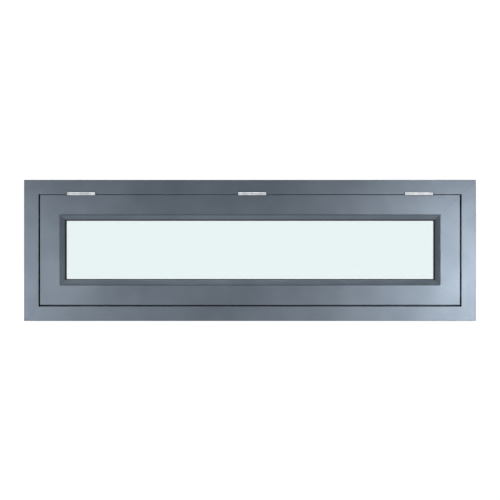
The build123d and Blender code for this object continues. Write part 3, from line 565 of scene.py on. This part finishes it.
def bevel_edges(
    bm: bmesh.types.BMesh, edges: Iterable[bmesh.types.BMEdge], width_mm: float, segments: int = 3
) -> None:
    """Round edges off by a width in millimetres."""
    bmesh.ops.bevel(
        bm,
        geom=list(edges),
        offset=mm(width_mm),
        offset_type="OFFSET",
        segments=segments,
        profile=0.5,
        affect="EDGES",
        clamp_overlap=True,
        material=-1,
    )


def sharp_edges(bm: bmesh.types.BMesh) -> list[bmesh.types.BMEdge]:
    """Edges whose faces meet at a sharp angle."""
    limit = math.radians(SHARP_DEG)
    return [e for e in bm.edges if len(e.link_faces) == 2 and e.calc_face_angle(0.0) > limit]


def cut(made: bpy.types.Object, cutters: bmesh.types.BMesh) -> None:
    """Cut closed shapes out of an object's mesh.

    Args:
        made: Object to cut.
        cutters: The shapes to take away; freed afterwards.
    """
    mesh = bpy.data.meshes.new("cutters")
    bmesh.ops.recalc_face_normals(cutters, faces=cutters.faces)
    cutters.to_mesh(mesh)
    cutters.free()
    tool = bpy.data.objects.new("cutters", mesh)
    bpy.context.scene.collection.objects.link(tool)
    modifier = made.modifiers.new("cut", "BOOLEAN")
    modifier.operation = "DIFFERENCE"
    modifier.solver = "EXACT"
    modifier.use_self = True
    modifier.object = tool
    bpy.context.view_layer.update()
    result = bpy.data.meshes.new_from_object(made.evaluated_get(bpy.context.evaluated_depsgraph_get()))
    made.modifiers.clear()
    old = made.data
    made.data = result
    bpy.data.meshes.remove(old)
    result.name = made.name
    bpy.data.objects.remove(tool)
    bpy.data.meshes.remove(mesh)


def add_box(bm: bmesh.types.BMesh, low: Vector, high: Vector) -> list[bmesh.types.BMVert]:
    """Add a box between two corners in metres, and return its vertices."""
    matrix = Matrix.Translation((low + high) / 2) @ Matrix.Diagonal((*(high - low), 1.0))
    return bmesh.ops.create_cube(bm, size=1.0, matrix=matrix)["verts"]


def add_rod(
    bm: bmesh.types.BMesh, start: Vector, end: Vector, radius: float, sides: int = 40
) -> list[bmesh.types.BMVert]:
    """Add a closed rod.

    Args:
        bm: Mesh that takes it.
        start: Middle of its first end, in metres.
        end: Middle of its other end.
        radius: Its radius, in metres.
        sides: Flat sides round it.

    Returns:
        Its vertices.
    """
    along = end - start
    turn = along.to_track_quat("Z", "Y").to_matrix().to_4x4()
    return bmesh.ops.create_cone(
        bm,
        cap_ends=True,
        segments=sides,
        radius1=radius,
        radius2=radius,
        depth=along.length,
        matrix=Matrix.Translation((start + end) / 2) @ turn,
    )["verts"]


def add_rounded_rod(
    bm: bmesh.types.BMesh,
    start: Vector,
    end: Vector,
    radius_mm: float,
    rounding: tuple[float, int],
    sides: int,
) -> None:
    """Add a closed rod whose two rims are rounded.

    Args:
        bm: Mesh that takes it.
        start: Middle of its first end, in metres.
        end: Middle of its other end.
        radius_mm: Its radius, in millimetres.
        rounding: Width of the rounding in millimetres, and its steps.
        sides: Flat sides round it.
    """
    rod = add_rod(bm, start, end, mm(radius_mm), sides)
    around = {e for v in rod for e in v.link_edges if len(e.link_faces) == 2}
    bevel_edges(bm, {e for e in around if e.calc_face_angle(0.0) > RIM_ANGLE}, *rounding)


def revolve(
    bm: bmesh.types.BMesh, start: Vector, axis: Vector, profile: Sequence[Point], steps: int = 48
) -> None:
    """Spin a half outline round an axis into a closed shape.

    Args:
        bm: Mesh that takes the shape.
        start: Point on the axis that distances are measured from.
        axis: Unit vector along the axis.
        profile: Radius and distance along the axis of each point, in millimetres.
        steps: Steps round the axis.
    """
    side = axis.orthogonal().normalized()
    verts = [bm.verts.new(start + side * mm(radius) + axis * mm(along)) for radius, along in profile]
    edges = [bm.edges.new(pair) for pair in zip(verts, verts[1:])]
    bmesh.ops.spin(
        bm, geom=verts + edges, cent=start, axis=axis, angle=math.tau, steps=steps, use_merge=True
    )
    bmesh.ops.remove_doubles(bm, verts=bm.verts, dist=mm(WELD_MM))


def refined(node: str, surface: Surface, width_mm: float) -> None:
    """Stand for a node with a copy whose flat faces are whole and whose edges are eased.

    Args:
        node: Node of the model.
        surface: Finish of the copy.
        width_mm: Width of the eased edges.
    """
    bm = bmesh.new()
    bm.from_mesh(frame["nodes"][node].data)
    bmesh.ops.remove_doubles(bm, verts=bm.verts, dist=mm(COPY_WELD_MM))
    bmesh.ops.dissolve_limit(
        bm, angle_limit=math.radians(FLAT_DEG), use_dissolve_boundaries=False, verts=bm.verts, edges=bm.edges
    )
    piece(f"{node}_shell", bm, surface, frame["nodes"][node]["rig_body"], [node], eased_mm=width_mm)


# ------------------------------------------------------------------ mitred rings
class Side(Enum):
    """A side of a ring, with the two corners that it runs between."""

    BOTTOM = (0, 1)
    RIGHT = (1, 2)
    TOP = (2, 3)
    LEFT = (3, 0)


CORNER_SIGNS = ((-1, -1), (1, -1), (1, 1), (-1, 1))


@dataclass
class MitredRing:
    """A rectangle of one section, mitred at its four corners.

    A section is a list of (distance in from the outer edge, distance out from the middle of the depth).
    """

    width: float
    height: float
    centre: float  # height of its middle
    seam: float = 0.15  # hairline along the mitres
    reach: float = 0.01  # how near an edge's ends lie to the section's point that it runs through
    shortest: float = 20.0  # an edge along a member is longer than this
    mitre_tilt: float = 0.45  # a mitre's normal has this much in both directions at least

    def corner(self, number: int, point: Point) -> Vector:
        """Where a section's point lies on a corner's mitre.

        Args:
            number: The corner, from the lower left round by the lower right.
            point: A point of the section, in millimetres.

        Returns:
            The place, in metres.
        """
        across, up = CORNER_SIGNS[number]
        inward, outward = point
        return at(across * (self.width / 2 - inward), -outward, self.centre + up * (self.height / 2 - inward))

    def loop(self, bm: bmesh.types.BMesh, number: int, section: Sequence[Point]) -> list[bmesh.types.BMEdge]:
        """Draw the section on a corner's mitre and return its edges."""
        verts = [bm.verts.new(self.corner(number, point)) for point in section]
        return [bm.edges.new((verts[i - 1], verts[i])) for i in range(len(verts))]

    def member(self, side: Side, section: Sequence[Point], eased: dict[int, float]) -> bmesh.types.BMesh:
        """One side of the ring, a closed bar with mitred ends.

        Args:
            side: Which side.
            section: Its section.
            eased: Width of the rounding of a section's corners, by the corner's place in the list.

        Returns:
            The bar's mesh.
        """
        bm = bmesh.new()
        first, last = (self.loop(bm, number, section) for number in side.value)
        bmesh.ops.bridge_loops(bm, edges=first + last)
        bmesh.ops.contextual_create(bm, geom=first)
        bmesh.ops.contextual_create(bm, geom=last)
        for place, width_mm in eased.items():
            ends = [self.corner(number, section[place]) for number in side.value]
            edges = [
                e
                for e in bm.edges
                if all(min((v.co - end).length for end in ends) < mm(self.reach) for v in e.verts)
                and e.calc_length() > mm(self.shortest)
            ]
            bevel_edges(bm, edges, width_mm)
        seams = {e for f in bm.faces if abs(f.normal.x * f.normal.z) > self.mitre_tilt for e in f.edges}
        bevel_edges(bm, seams, self.seam, 1)
        return bm

    def ring(self, section: Sequence[Point]) -> bmesh.types.BMesh:
        """The whole ring in one piece, such as a gasket."""
        bm = bmesh.new()
        loops = [self.loop(bm, number, section) for number in range(4)]
        for number in range(4):
            bmesh.ops.bridge_loops(bm, edges=loops[number] + loops[number - 1])
        return bm


# ------------------------------------------------------------------ sub-assemblies
@dataclass
class Hinges:
    """Three lift-off hinges with two knuckles each, in cut-outs along the top seam."""

    places: dict[str, float] = field(default_factory=lambda: {"left": -478.0, "middle": 6.0, "right": 478.0})
    head_edge: float = 358.5  # height of the head's underside
    sash_edge: float = 357.3  # height of the top rail's upper side
    length: float = 80.0
    radius: float = 4.8
    rim: tuple[float, int] = (1.1, 4)
    sides: int = 56
    split: float = 0.4
    pin_radius: float = 2.5
    pin_proud: float = 0.3
    pin_rim: tuple[float, int] = (0.7, 4)
    pin_sides: int = 36
    axis_out: float = 32.0
    axis_up: float = 360.0
    leaf: float = 1.5
    leaf_in: float = 6.0
    leaf_rim: tuple[float, int] = (0.25, 2)
    leaf_play: float = 0.2
    notch_floor: float = 26.6
    notch_front: float = 40.0
    notch_length: float = 86.0
    notch_depths: dict[int, float] = field(default_factory=lambda: {1: 8.0, -1: 3.0})
    overcut: float = 0.5

    def cutters(self, into: int) -> bmesh.types.BMesh:
        """Shapes of the knuckle notches and leaf beds in one of the two facing edges.

        Args:
            into: 1 for the head above the seam, -1 for the sash below it.

        Returns:
            The shapes to cut out.
        """
        bm = bmesh.new()
        edge_up = self.head_edge if into > 0 else self.sash_edge
        notch = (self.notch_length / 2, self.notch_floor, self.notch_front, self.notch_depths[into])
        bed = (self.length / 2 + self.leaf_play, self.leaf_in, self.notch_floor + 1, self.leaf)
        for x in self.places.values():
            for half, out_low, out_high, deep in (notch, bed):
                ups = sorted((edge_up - into * self.overcut, edge_up + into * deep))
                add_box(bm, at(x - half, -out_high, ups[0]), at(x + half, -out_low, ups[1]))
        return bm

    def leaf_plate(self, name: str, x: float, low: float, knuckle: int, body: str, node: str) -> None:
        """Make one leaf with its rolled knuckle.

        Args:
            name: Name of the piece.
            x: Middle of the hinge along the window, in millimetres.
            low: Height of the leaf's underside.
            knuckle: -1 for the left knuckle, 1 for the right.
            body: Body that the leaf rides on.
            node: Node that it stands for.
        """
        bm = bmesh.new()
        half = self.length / 2
        top = low + self.leaf
        near = x + knuckle * self.split / 2
        far = near + knuckle * (self.length - self.split) / 2
        add_box(bm, at(x - half, -self.notch_floor, low), at(x + half, -self.leaf_in, top))
        add_box(bm, at(min(near, far), -self.axis_out, low), at(max(near, far), -self.notch_floor, top))
        bevel_edges(bm, sharp_edges(bm), *self.leaf_rim)
        start = at(near, -self.axis_out, self.axis_up)
        end = at(far, -self.axis_out, self.axis_up)
        add_rounded_rod(bm, start, end, self.radius, self.rim, self.sides)
        piece(name, bm, Surface.HINGE, body, [node])

    def pin(self, place: str, x: float) -> None:
        """Make a hinge pin with domed ends that show in the knuckles."""
        bm = bmesh.new()
        half = self.length / 2 + self.pin_proud
        start = at(x - half, -self.axis_out, self.axis_up)
        end = at(x + half, -self.axis_out, self.axis_up)
        add_rounded_rod(bm, start, end, self.pin_radius, self.pin_rim, self.pin_sides)
        piece(f"{place}_hinge_pin_domed", bm, Surface.PIN, "frame", [f"{place}_hinge_pin"])

    def build(self) -> None:
        """Make the three hinges."""
        for place, x in self.places.items():
            upper, lower = f"{place}_hinge_upper", f"{place}_hinge_lower"
            self.leaf_plate(upper, x, self.head_edge, -1, "frame", f"{place}_hinge_frame_leaf")
            self.leaf_plate(lower, x, self.sash_edge - self.leaf, 1, "sash", f"{place}_hinge_sash_leaf")
            self.pin(place, x)


@dataclass
class OuterFrame:
    """The fixed frame: a flat face, a rebate for the sash and a stop lip with its seal."""

    hinges: Hinges
    ring: MitredRing = field(default_factory=lambda: MitredRing(1280.0, 400.0, 200.0))
    face: float = 41.5
    lip: float = 14.0
    out: float = 30.0
    lip_front: float = -15.0
    fixing_radius: float = 4.1
    fixing_heights: Point = (100.0, 300.0)
    fixing_out: float = 5.0
    overcut: float = 2.0
    eased: dict[int, float] = field(default_factory=lambda: {0: 0.8, 1: 1.0, 2: 0.9, 8: 0.8, 9: 1.5})

    def section(self) -> list[Point]:
        """The frame's section with the drain channel in its rebate and a quirk on the room side."""
        return [
            (0.0, -self.out),
            (0.0, self.out),
            (self.face, self.out),
            (self.face, 2.0),
            (self.face - 1.6, 0.4),
            (self.face - 1.6, -6.4),
            (self.face, -8.0),
            (self.face, self.lip_front),
            (self.face + self.lip, self.lip_front),
            (self.face + self.lip, -self.out),
            (self.face + 3.0, -self.out),
            (self.face + 2.2, -self.out + 0.8),
            (self.face + 1.4, -self.out),
        ]

    def seal_section(self) -> list[Point]:
        """The stop seal: a flat foot on the lip that swells to a bulb."""
        return [
            (self.face + 0.4, self.lip_front + 0.1),
            (self.face + 0.4, self.lip_front + 1.1),
            (self.face + 5.1, self.lip_front + 1.3),
            (self.face + 6.1, self.lip_front + 2.2),
            (self.face + 8.1, self.lip_front + 2.4),
            (self.face + 10.1, self.lip_front + 1.8),
            (self.face + 10.9, self.lip_front + 0.1),
        ]

    def build(self) -> None:
        """Make the head, sill and jambs, and the seal on the lip."""
        for side, node in (
            (Side.BOTTOM, "frame_sill"),
            (Side.RIGHT, "frame_right_jamb"),
            (Side.TOP, "frame_head"),
            (Side.LEFT, "frame_left_jamb"),
        ):
            cutters = None
            if side is Side.TOP:
                cutters = self.hinges.cutters(1)
            elif side is not Side.BOTTOM:
                cutters = self.fixing_cutters(1 if side is Side.RIGHT else -1)
            bar = self.ring.member(side, self.section(), self.eased)
            piece(f"{node}_coated", bar, Surface.FRAME, "frame", [node], cutters)
        seal = self.ring.ring(self.seal_section())
        piece("stop_seal_bulb", seal, Surface.RUBBER, "frame", ["frame_stop_seal"])

    def fixing_cutters(self, sign: int) -> bmesh.types.BMesh:
        """The two wall-fixing holes through a jamb; sign is 1 for the right one, -1 for the left."""
        bm = bmesh.new()
        edge = self.ring.width / 2
        for height in self.fixing_heights:
            start = at(sign * (edge + self.overcut), -self.fixing_out, height)
            end = at(sign * (edge - self.face - self.overcut), -self.fixing_out, height)
            add_rod(bm, start, end, mm(self.fixing_radius))
        return bm


@dataclass
class Sash:
    """The swinging sash: rails and stiles, sloping beads, gaskets and the sealed glass unit."""

    hinges: Hinges
    ring: MitredRing = field(default_factory=lambda: MitredRing(1190.0, 312.0, 201.3))
    face: float = 56.0
    leg: float = 16.0
    out: float = 30.0
    back: float = -12.0
    glass_out: float = 20.0
    bead: float = 14.5
    sight: float = 17.5
    tuck: float = 6.0  # hidden edge of the gaskets, in from the face's edge
    eased: dict[int, float] = field(default_factory=lambda: {0: 0.8, 1: 1.1, 2: 0.5, 5: 0.8, 6: 0.8})
    bead_eased: dict[int, float] = field(default_factory=lambda: {2: 0.4, 3: 0.6, 4: 0.4})
    arris: tuple[float, int] = (0.6, 2)

    def section(self) -> list[Point]:
        """The section of the rails and stiles, with the leg that the glass sits against."""
        return [
            (0.0, self.back),
            (0.0, self.out),
            (self.face, self.out),
            (self.face, self.back + 10),
            (self.face + self.leg, self.back + 10),
            (self.face + self.leg, self.back + 3),
            (self.face + self.leg - 3, self.back),
        ]

    def bead_section(self) -> list[Point]:
        """The glazing bead: a clip-in foot, a small quirk and a long slope to a rounded nose."""
        return [
            (self.face + 0.3, self.glass_out + 1.1),
            (self.face + 0.3, self.out - 1.4),
            (self.face + 1.5, self.out - 0.5),
            (self.face + self.bead - 1.6, self.glass_out + 3.6),
            (self.face + self.bead - 0.3, self.glass_out + 2.4),
            (self.face + self.bead - 0.3, self.glass_out + 1.1),
        ]

    def wedge_section(self) -> list[Point]:
        """The outer gasket: squeezed behind the bead, with a lip that wipes the glass."""
        nose = self.face + self.bead
        return [
            (self.face + self.tuck, self.glass_out),
            (self.face + self.tuck, self.glass_out + 1.0),
            (nose, self.glass_out + 1.0),
            (nose, self.glass_out + 2.2),
            (nose + 1.4, self.glass_out + 2.1),
            (self.face + self.sight - 0.3, self.glass_out + 0.9),
            (self.face + self.sight, self.glass_out),
        ]

    def lip_section(self) -> list[Point]:
        """The inner gasket: a strip on the leg with a rounded lip."""
        end = self.face + self.leg
        hidden = self.face + self.tuck
        return [
            (hidden, -2.0),
            (hidden, 0.0),
            (end - 0.2, 0.0),
            (end + 0.6, -0.7),
            (end + 0.4, -1.6),
            (end - 0.2, -2.0),
        ]

    def spacer_section(self) -> list[Point]:
        """The folded bar between the panes, its corners cut towards the sight line."""
        back, front = self.face + 5.0, self.face + 13.0
        return [(back, 4.0), (back, 16.0), (front - 1, 16.0), (front, 15.0), (front, 5.0), (front - 1, 4.0)]

    def build(self) -> None:
        """Make the sash's metal, beads, gaskets and glass."""
        for side, node, bead_node in (
            (Side.BOTTOM, "sash_bottom_rail", "glazing_bead_bottom"),
            (Side.RIGHT, "sash_right_stile", "glazing_bead_right"),
            (Side.TOP, "sash_top_rail", "glazing_bead_top"),
            (Side.LEFT, "sash_left_stile", "glazing_bead_left"),
        ):
            cutters = self.hinges.cutters(-1) if side is Side.TOP else None
            bar = self.ring.member(side, self.section(), self.eased)
            piece(f"{node}_coated", bar, Surface.FRAME, "sash", [node], cutters)
            bead = self.ring.member(side, self.bead_section(), self.bead_eased)
            piece(f"{bead_node}_coated", bead, Surface.FRAME, "sash", [bead_node])
        for name, section, surface, node in (
            ("outer_gasket_wedge", self.wedge_section(), Surface.RUBBER, "outer_gasket"),
            ("inner_gasket_lip", self.lip_section(), Surface.RUBBER, "inner_gasket"),
            ("spacer_bar_folded", self.spacer_section(), Surface.SPACER, "glass_spacer_bar"),
        ):
            piece(name, self.ring.ring(section), surface, "sash", [node])
        for node in ("outer_pane", "inner_pane"):
            low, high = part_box(node)
            bm = bmesh.new()
            add_box(bm, low, high)
            bevel_edges(bm, sharp_edges(bm), *self.arris)
            piece(f"{node}_arrissed", bm, Surface.GLASS, "sash", [node])


@dataclass
class Screws:
    """Pan-head screws with a crossed recess, their heads towards the room."""

    shank: float = 2.1
    shank_lead: float = 0.5
    recess_width: float = 0.9
    recess_deep: float = 1.3
    recess_share: float = 0.52  # of the head's radius
    crown_share: float = 0.45  # of the head's height, where its dome starts
    crown_steps: tuple[int, ...] = (0, 15, 30, 45, 60, 75)

    def profile(self, head: float, height: float, reach: float) -> list[Point]:
        """Half of a screw's outline as (radius, distance out of the plate)."""
        tip = self.shank - self.shank_lead
        shank = [(0.0, -reach), (tip, -reach), (self.shank, 1.0 - reach), (self.shank, 0.0)]
        angles = [math.radians(step) for step in self.crown_steps]
        dome = 1.0 - self.crown_share
        crown = [(head * math.cos(a), height * (self.crown_share + dome * math.sin(a))) for a in angles]
        return [*shank, (head - 0.15, 0.0), (head, 0.2), *crown, (0.0, height)]

    def build(
        self, name: str, node: str, body: str, places: Sequence[Point3], head: float, size: Point
    ) -> None:
        """Make a set of screws.

        Args:
            name: Name of the piece.
            node: Node that it stands for.
            body: Body that it rides on.
            places: Middle of each head's underside, in millimetres.
            head: Radius of a head.
            size: Height of a head, and reach of the shank behind it.
        """
        height, reach = size
        bm = bmesh.new()
        cutters = bmesh.new()
        for x, y, z in places:
            revolve(bm, at(x, y, z), Vector((0.0, 1.0, 0.0)), self.profile(head, height, reach))
            half, slot = head * self.recess_share, self.recess_width / 2
            floor, lid = y + height - self.recess_deep, y + height + 1.0
            for wide, tall in ((half, slot), (slot, half)):
                add_box(cutters, at(x - wide, floor, z - tall), at(x + wide, lid, z + tall))
        piece(name, bm, Surface.FASTENER, body, [node], cutters)


@dataclass
class CrankKnob:
    """The moulded knob on the crank, ringed for grip, turning on its axle."""

    axis_start: Point3 = (38.302, 74.371, 57.0)
    slope_deg: float = 12.9074
    bore: float = 2.56
    bore_end: float = 21.5
    rings: tuple[float, ...] = (6.5, 9.3, 12.1, 14.9, 17.7)
    ring_deep: float = 0.35
    ring_mouth: float = 0.7
    ring_floor: float = 0.25
    lip: Point = (6.8, 1.2)
    swell_end: float = 20.28

    def radius(self, along: float) -> float:
        """Outer radius of the knob between its lip and its swell: in at the waist, out to the grip."""
        lip_radius, lip_end = self.lip
        share = (along - lip_end) / (self.swell_end - lip_end)
        return lip_radius - 1.5 * share + 2.7 * share * share

    def ring(self, place: float) -> list[Point]:
        """Outline of one ring groove, its middle at a distance along the axis."""
        floor_radius = self.radius(place) - self.ring_deep
        before, after = place - self.ring_mouth, place + self.ring_mouth
        return [
            (self.radius(before), before),
            (floor_radius, place - self.ring_floor),
            (floor_radius, place + self.ring_floor),
            (self.radius(after), after),
        ]

    def profile(self) -> list[Point]:
        """Half outline of the knob as (radius, distance along its axis)."""
        mouth = [(0.0, self.bore_end), (self.bore, self.bore_end), (self.bore, 0.0), (5.6, 0.0), (6.0, 0.1)]
        grooves = [point for place in self.rings for point in self.ring(place)]
        dome = [(7.98, 20.3), (7.9, 21.6), (7.4, 23.2), (6.6, 24.4), (5.6, 25.3), (4.5, 25.8), (0.0, 26.0)]
        return [*mouth, (6.5, 0.6), self.lip, *grooves, *dome]

    def build(self) -> None:
        """Turn the knob."""
        slope = math.radians(self.slope_deg)
        bm = bmesh.new()
        revolve(bm, at(*self.axis_start), Vector((0.0, math.cos(slope), math.sin(slope))), self.profile())
        piece("crank_knob_ringed", bm, Surface.KNOB, "knob", ["crank_knob"])


@dataclass
class CrankOperator:
    """The crank operator on the room side: base, rocking gear case, crank, elbow arms and brackets."""

    eased: dict[str, float] = field(
        default_factory=lambda: {
            "operator_base": 0.7,
            "gear_case_cover": 0.5,
            "gear_case": 0.3,
            "crank_arm": 0.5,
            "right_arm": 0.4,
            "left_arm": 0.4,
            "right_link": 0.4,
            "left_link": 0.4,
            "right_sash_bracket": 0.5,
            "left_sash_bracket": 0.5,
            "right_elbow_rivet": 0.5,
            "left_elbow_rivet": 0.5,
        }
    )
    pivot: float = 34.858  # of the ball studs, out from the window's middle
    base_out: float = 33.5
    base_head: float = 4.2
    base_size: Point = (2.4, 10.5)
    bracket_out: float = 15.0
    bracket_up: float = 69.0
    bracket_head: float = 3.8
    bracket_size: Point = (2.0, 10.0)
    screws: Screws = field(default_factory=Screws)

    def build(self) -> None:
        """Make the eased copies; the rest of the operator keeps the model's own meshes."""
        for node, width_mm in self.eased.items():
            slot = next(s["material_slot"] for s in frame["record"]["subparts"] if s["node"] == node)
            refined(node, Surface.of_slot(slot), width_mm)
        base = [(x, self.base_out, z) for x in (-52.0, 52.0) for z in (20.0, 40.0)]
        self.screws.build(
            "base_screws_pan", "operator_base_screws", "frame", base, self.base_head, self.base_size
        )
        across = [side * self.pivot + x for side in (-1, 1) for x in (-16.0, 16.0)]
        tabs = [(x, self.bracket_out, self.bracket_up) for x in across]
        self.screws.build(
            "bracket_screws_pan", "sash_bracket_screws", "sash", tabs, self.bracket_head, self.bracket_size
        )
        CrankKnob().build()


def dress_nodes() -> None:
    """Give every node that still shows the finish of its slot."""
    slots = {entry["node"]: entry["material_slot"] for entry in frame["record"]["subparts"]}
    for name, obj in frame["nodes"].items():
        if obj.hide_render:
            continue
        obj.data.materials.clear()
        obj.data.materials.append(Surface.of_slot(slots[name]).material())
        LOG.info("%s: dressed as %s", name, slots[name])


# ------------------------------------------------------------------ studio
@dataclass(frozen=True)
class Lamp:
    """A soft box: where it hangs, what it faces, its width and height in metres, its power in watts."""

    name: str
    place: Point3
    aim: Point3
    size: Point
    power: float

    def hang(self) -> None:
        """Add the light to the scene."""
        data = bpy.data.lights.new(self.name, "AREA")
        data.shape = "RECTANGLE"
        data.size, data.size_y = self.size
        data.energy = self.power
        made = bpy.data.objects.new(self.name, data)
        made.location = self.place
        towards = Vector(self.aim) - Vector(self.place)
        made.rotation_euler = towards.to_track_quat("-Z", "Y").to_euler()
        bpy.context.scene.collection.objects.link(made)


@dataclass(frozen=True)
class Paper:
    """A sheet of the studio, in metres: its corners, its colour and how much it glows by itself."""

    name: str
    low: Point3
    high: Point3
    colour: str
    glow: float
    roughness: float = 0.9

    def material(self) -> bpy.types.Material:
        """Matt paper, lit evenly from behind."""
        made = bpy.data.materials.new(f"{self.name}_paper")
        made.use_nodes = True
        shader = made.node_tree.nodes["Principled BSDF"]
        shader.inputs["Base Color"].default_value = srgb(self.colour)
        shader.inputs["Roughness"].default_value = self.roughness
        shader.inputs["Emission Color"].default_value = WHITE
        shader.inputs["Emission Strength"].default_value = self.glow
        return made

    def lay(self) -> None:
        """Add the sheet to the scene as part of the stage."""
        bm = bmesh.new()
        add_box(bm, Vector(self.low), Vector(self.high))
        mesh = bpy.data.meshes.new(self.name)
        bm.to_mesh(mesh)
        bm.free()
        made = bpy.data.objects.new(self.name, mesh)
        made.data.materials.append(self.material())
        bpy.context.scene.collection.objects.link(made)


@dataclass
class Studio:
    """A pale floor and backdrop, soft lights, and the camera."""

    distance: float = 4.2
    view_width: float = 1.426  # width seen at the window, in metres
    eye_height: float = 0.2
    eye_lift: float = 0.0008  # share of the view's width
    sensor: float = 36.0
    room_light: tuple[float, float, float, float] = (0.05, 0.052, 0.055, 1.0)
    papers: tuple[Paper, ...] = (
        Paper("studio_floor", (-9.0, -6.0, -0.02), (9.0, 9.0, 0.0), "#606060", 0.95),
        Paper("studio_wall", (-9.0, 6.0, 0.0), (9.0, 6.02, 7.0), "#000000", 1.04),
    )
    lamps: tuple[Lamp, ...] = (
        Lamp("key_right", (1.42, -4.1, 0.04), (0.6, 0.0, 0.1), (0.5, 0.07), 38.0),
        Lamp("fill_left", (-1.42, -4.1, 0.04), (-0.6, 0.0, 0.1), (0.4, 0.07), 15.0),
        Lamp("top_front", (0.0, -1.15, 3.0), (0.0, 0.0, 0.2), (3.0, 0.9), 44.0),
        Lamp("top", (0.0, 0.5, 3.4), (0.0, 0.0, 0.0), (3.0, 2.0), 40.0),
        Lamp("room_side", (0.5, 3.2, 1.8), (0.0, 0.0, 0.2), (2.4, 1.4), 40.0),
    )

    def camera(self) -> None:
        """Stand the camera square to the window, level with its middle."""
        data = bpy.data.cameras.new("camera")
        data.sensor_width = self.sensor
        data.lens = self.sensor * self.distance / self.view_width
        made = bpy.data.objects.new("camera", data)
        made.location = (0.0, -self.distance, self.eye_height + self.view_width * self.eye_lift)
        made.rotation_euler = (math.radians(90.0), 0.0, 0.0)
        bpy.context.scene.collection.objects.link(made)
        bpy.context.scene.camera = made

    def surroundings(self) -> None:
        """Light the scene dimly from all round, with white where the room itself is seen."""
        world = bpy.data.worlds.new("studio")
        world.use_nodes = True
        tree = world.node_tree
        path = add_node(tree, "ShaderNodeLightPath")
        inputs = {"Fac": path.outputs["Is Camera Ray"], "Color1": self.room_light, "Color2": WHITE}
        sky = add_node(tree, "ShaderNodeMixRGB", inputs=inputs)
        tree.links.new(sky.outputs["Color"], tree.nodes["Background"].inputs["Color"])
        bpy.context.scene.world = world

    def build(self) -> None:
        """Set the studio up."""
        bpy.context.scene.view_settings.view_transform = "Standard"
        self.camera()
        for paper in self.papers:
            paper.lay()
        self.surroundings()
        for lamp in self.lamps:
            lamp.hang()


def main() -> None:
    """Build the window and its studio, in order."""
    logging.basicConfig(level=logging.INFO, format="%(name)s %(message)s")
    hinges = Hinges()
    for part in (Studio(), OuterFrame(hinges), Sash(hinges), hinges, CrankOperator()):
        part.build()
    dress_nodes()


if __name__ == "__main__":
    main()
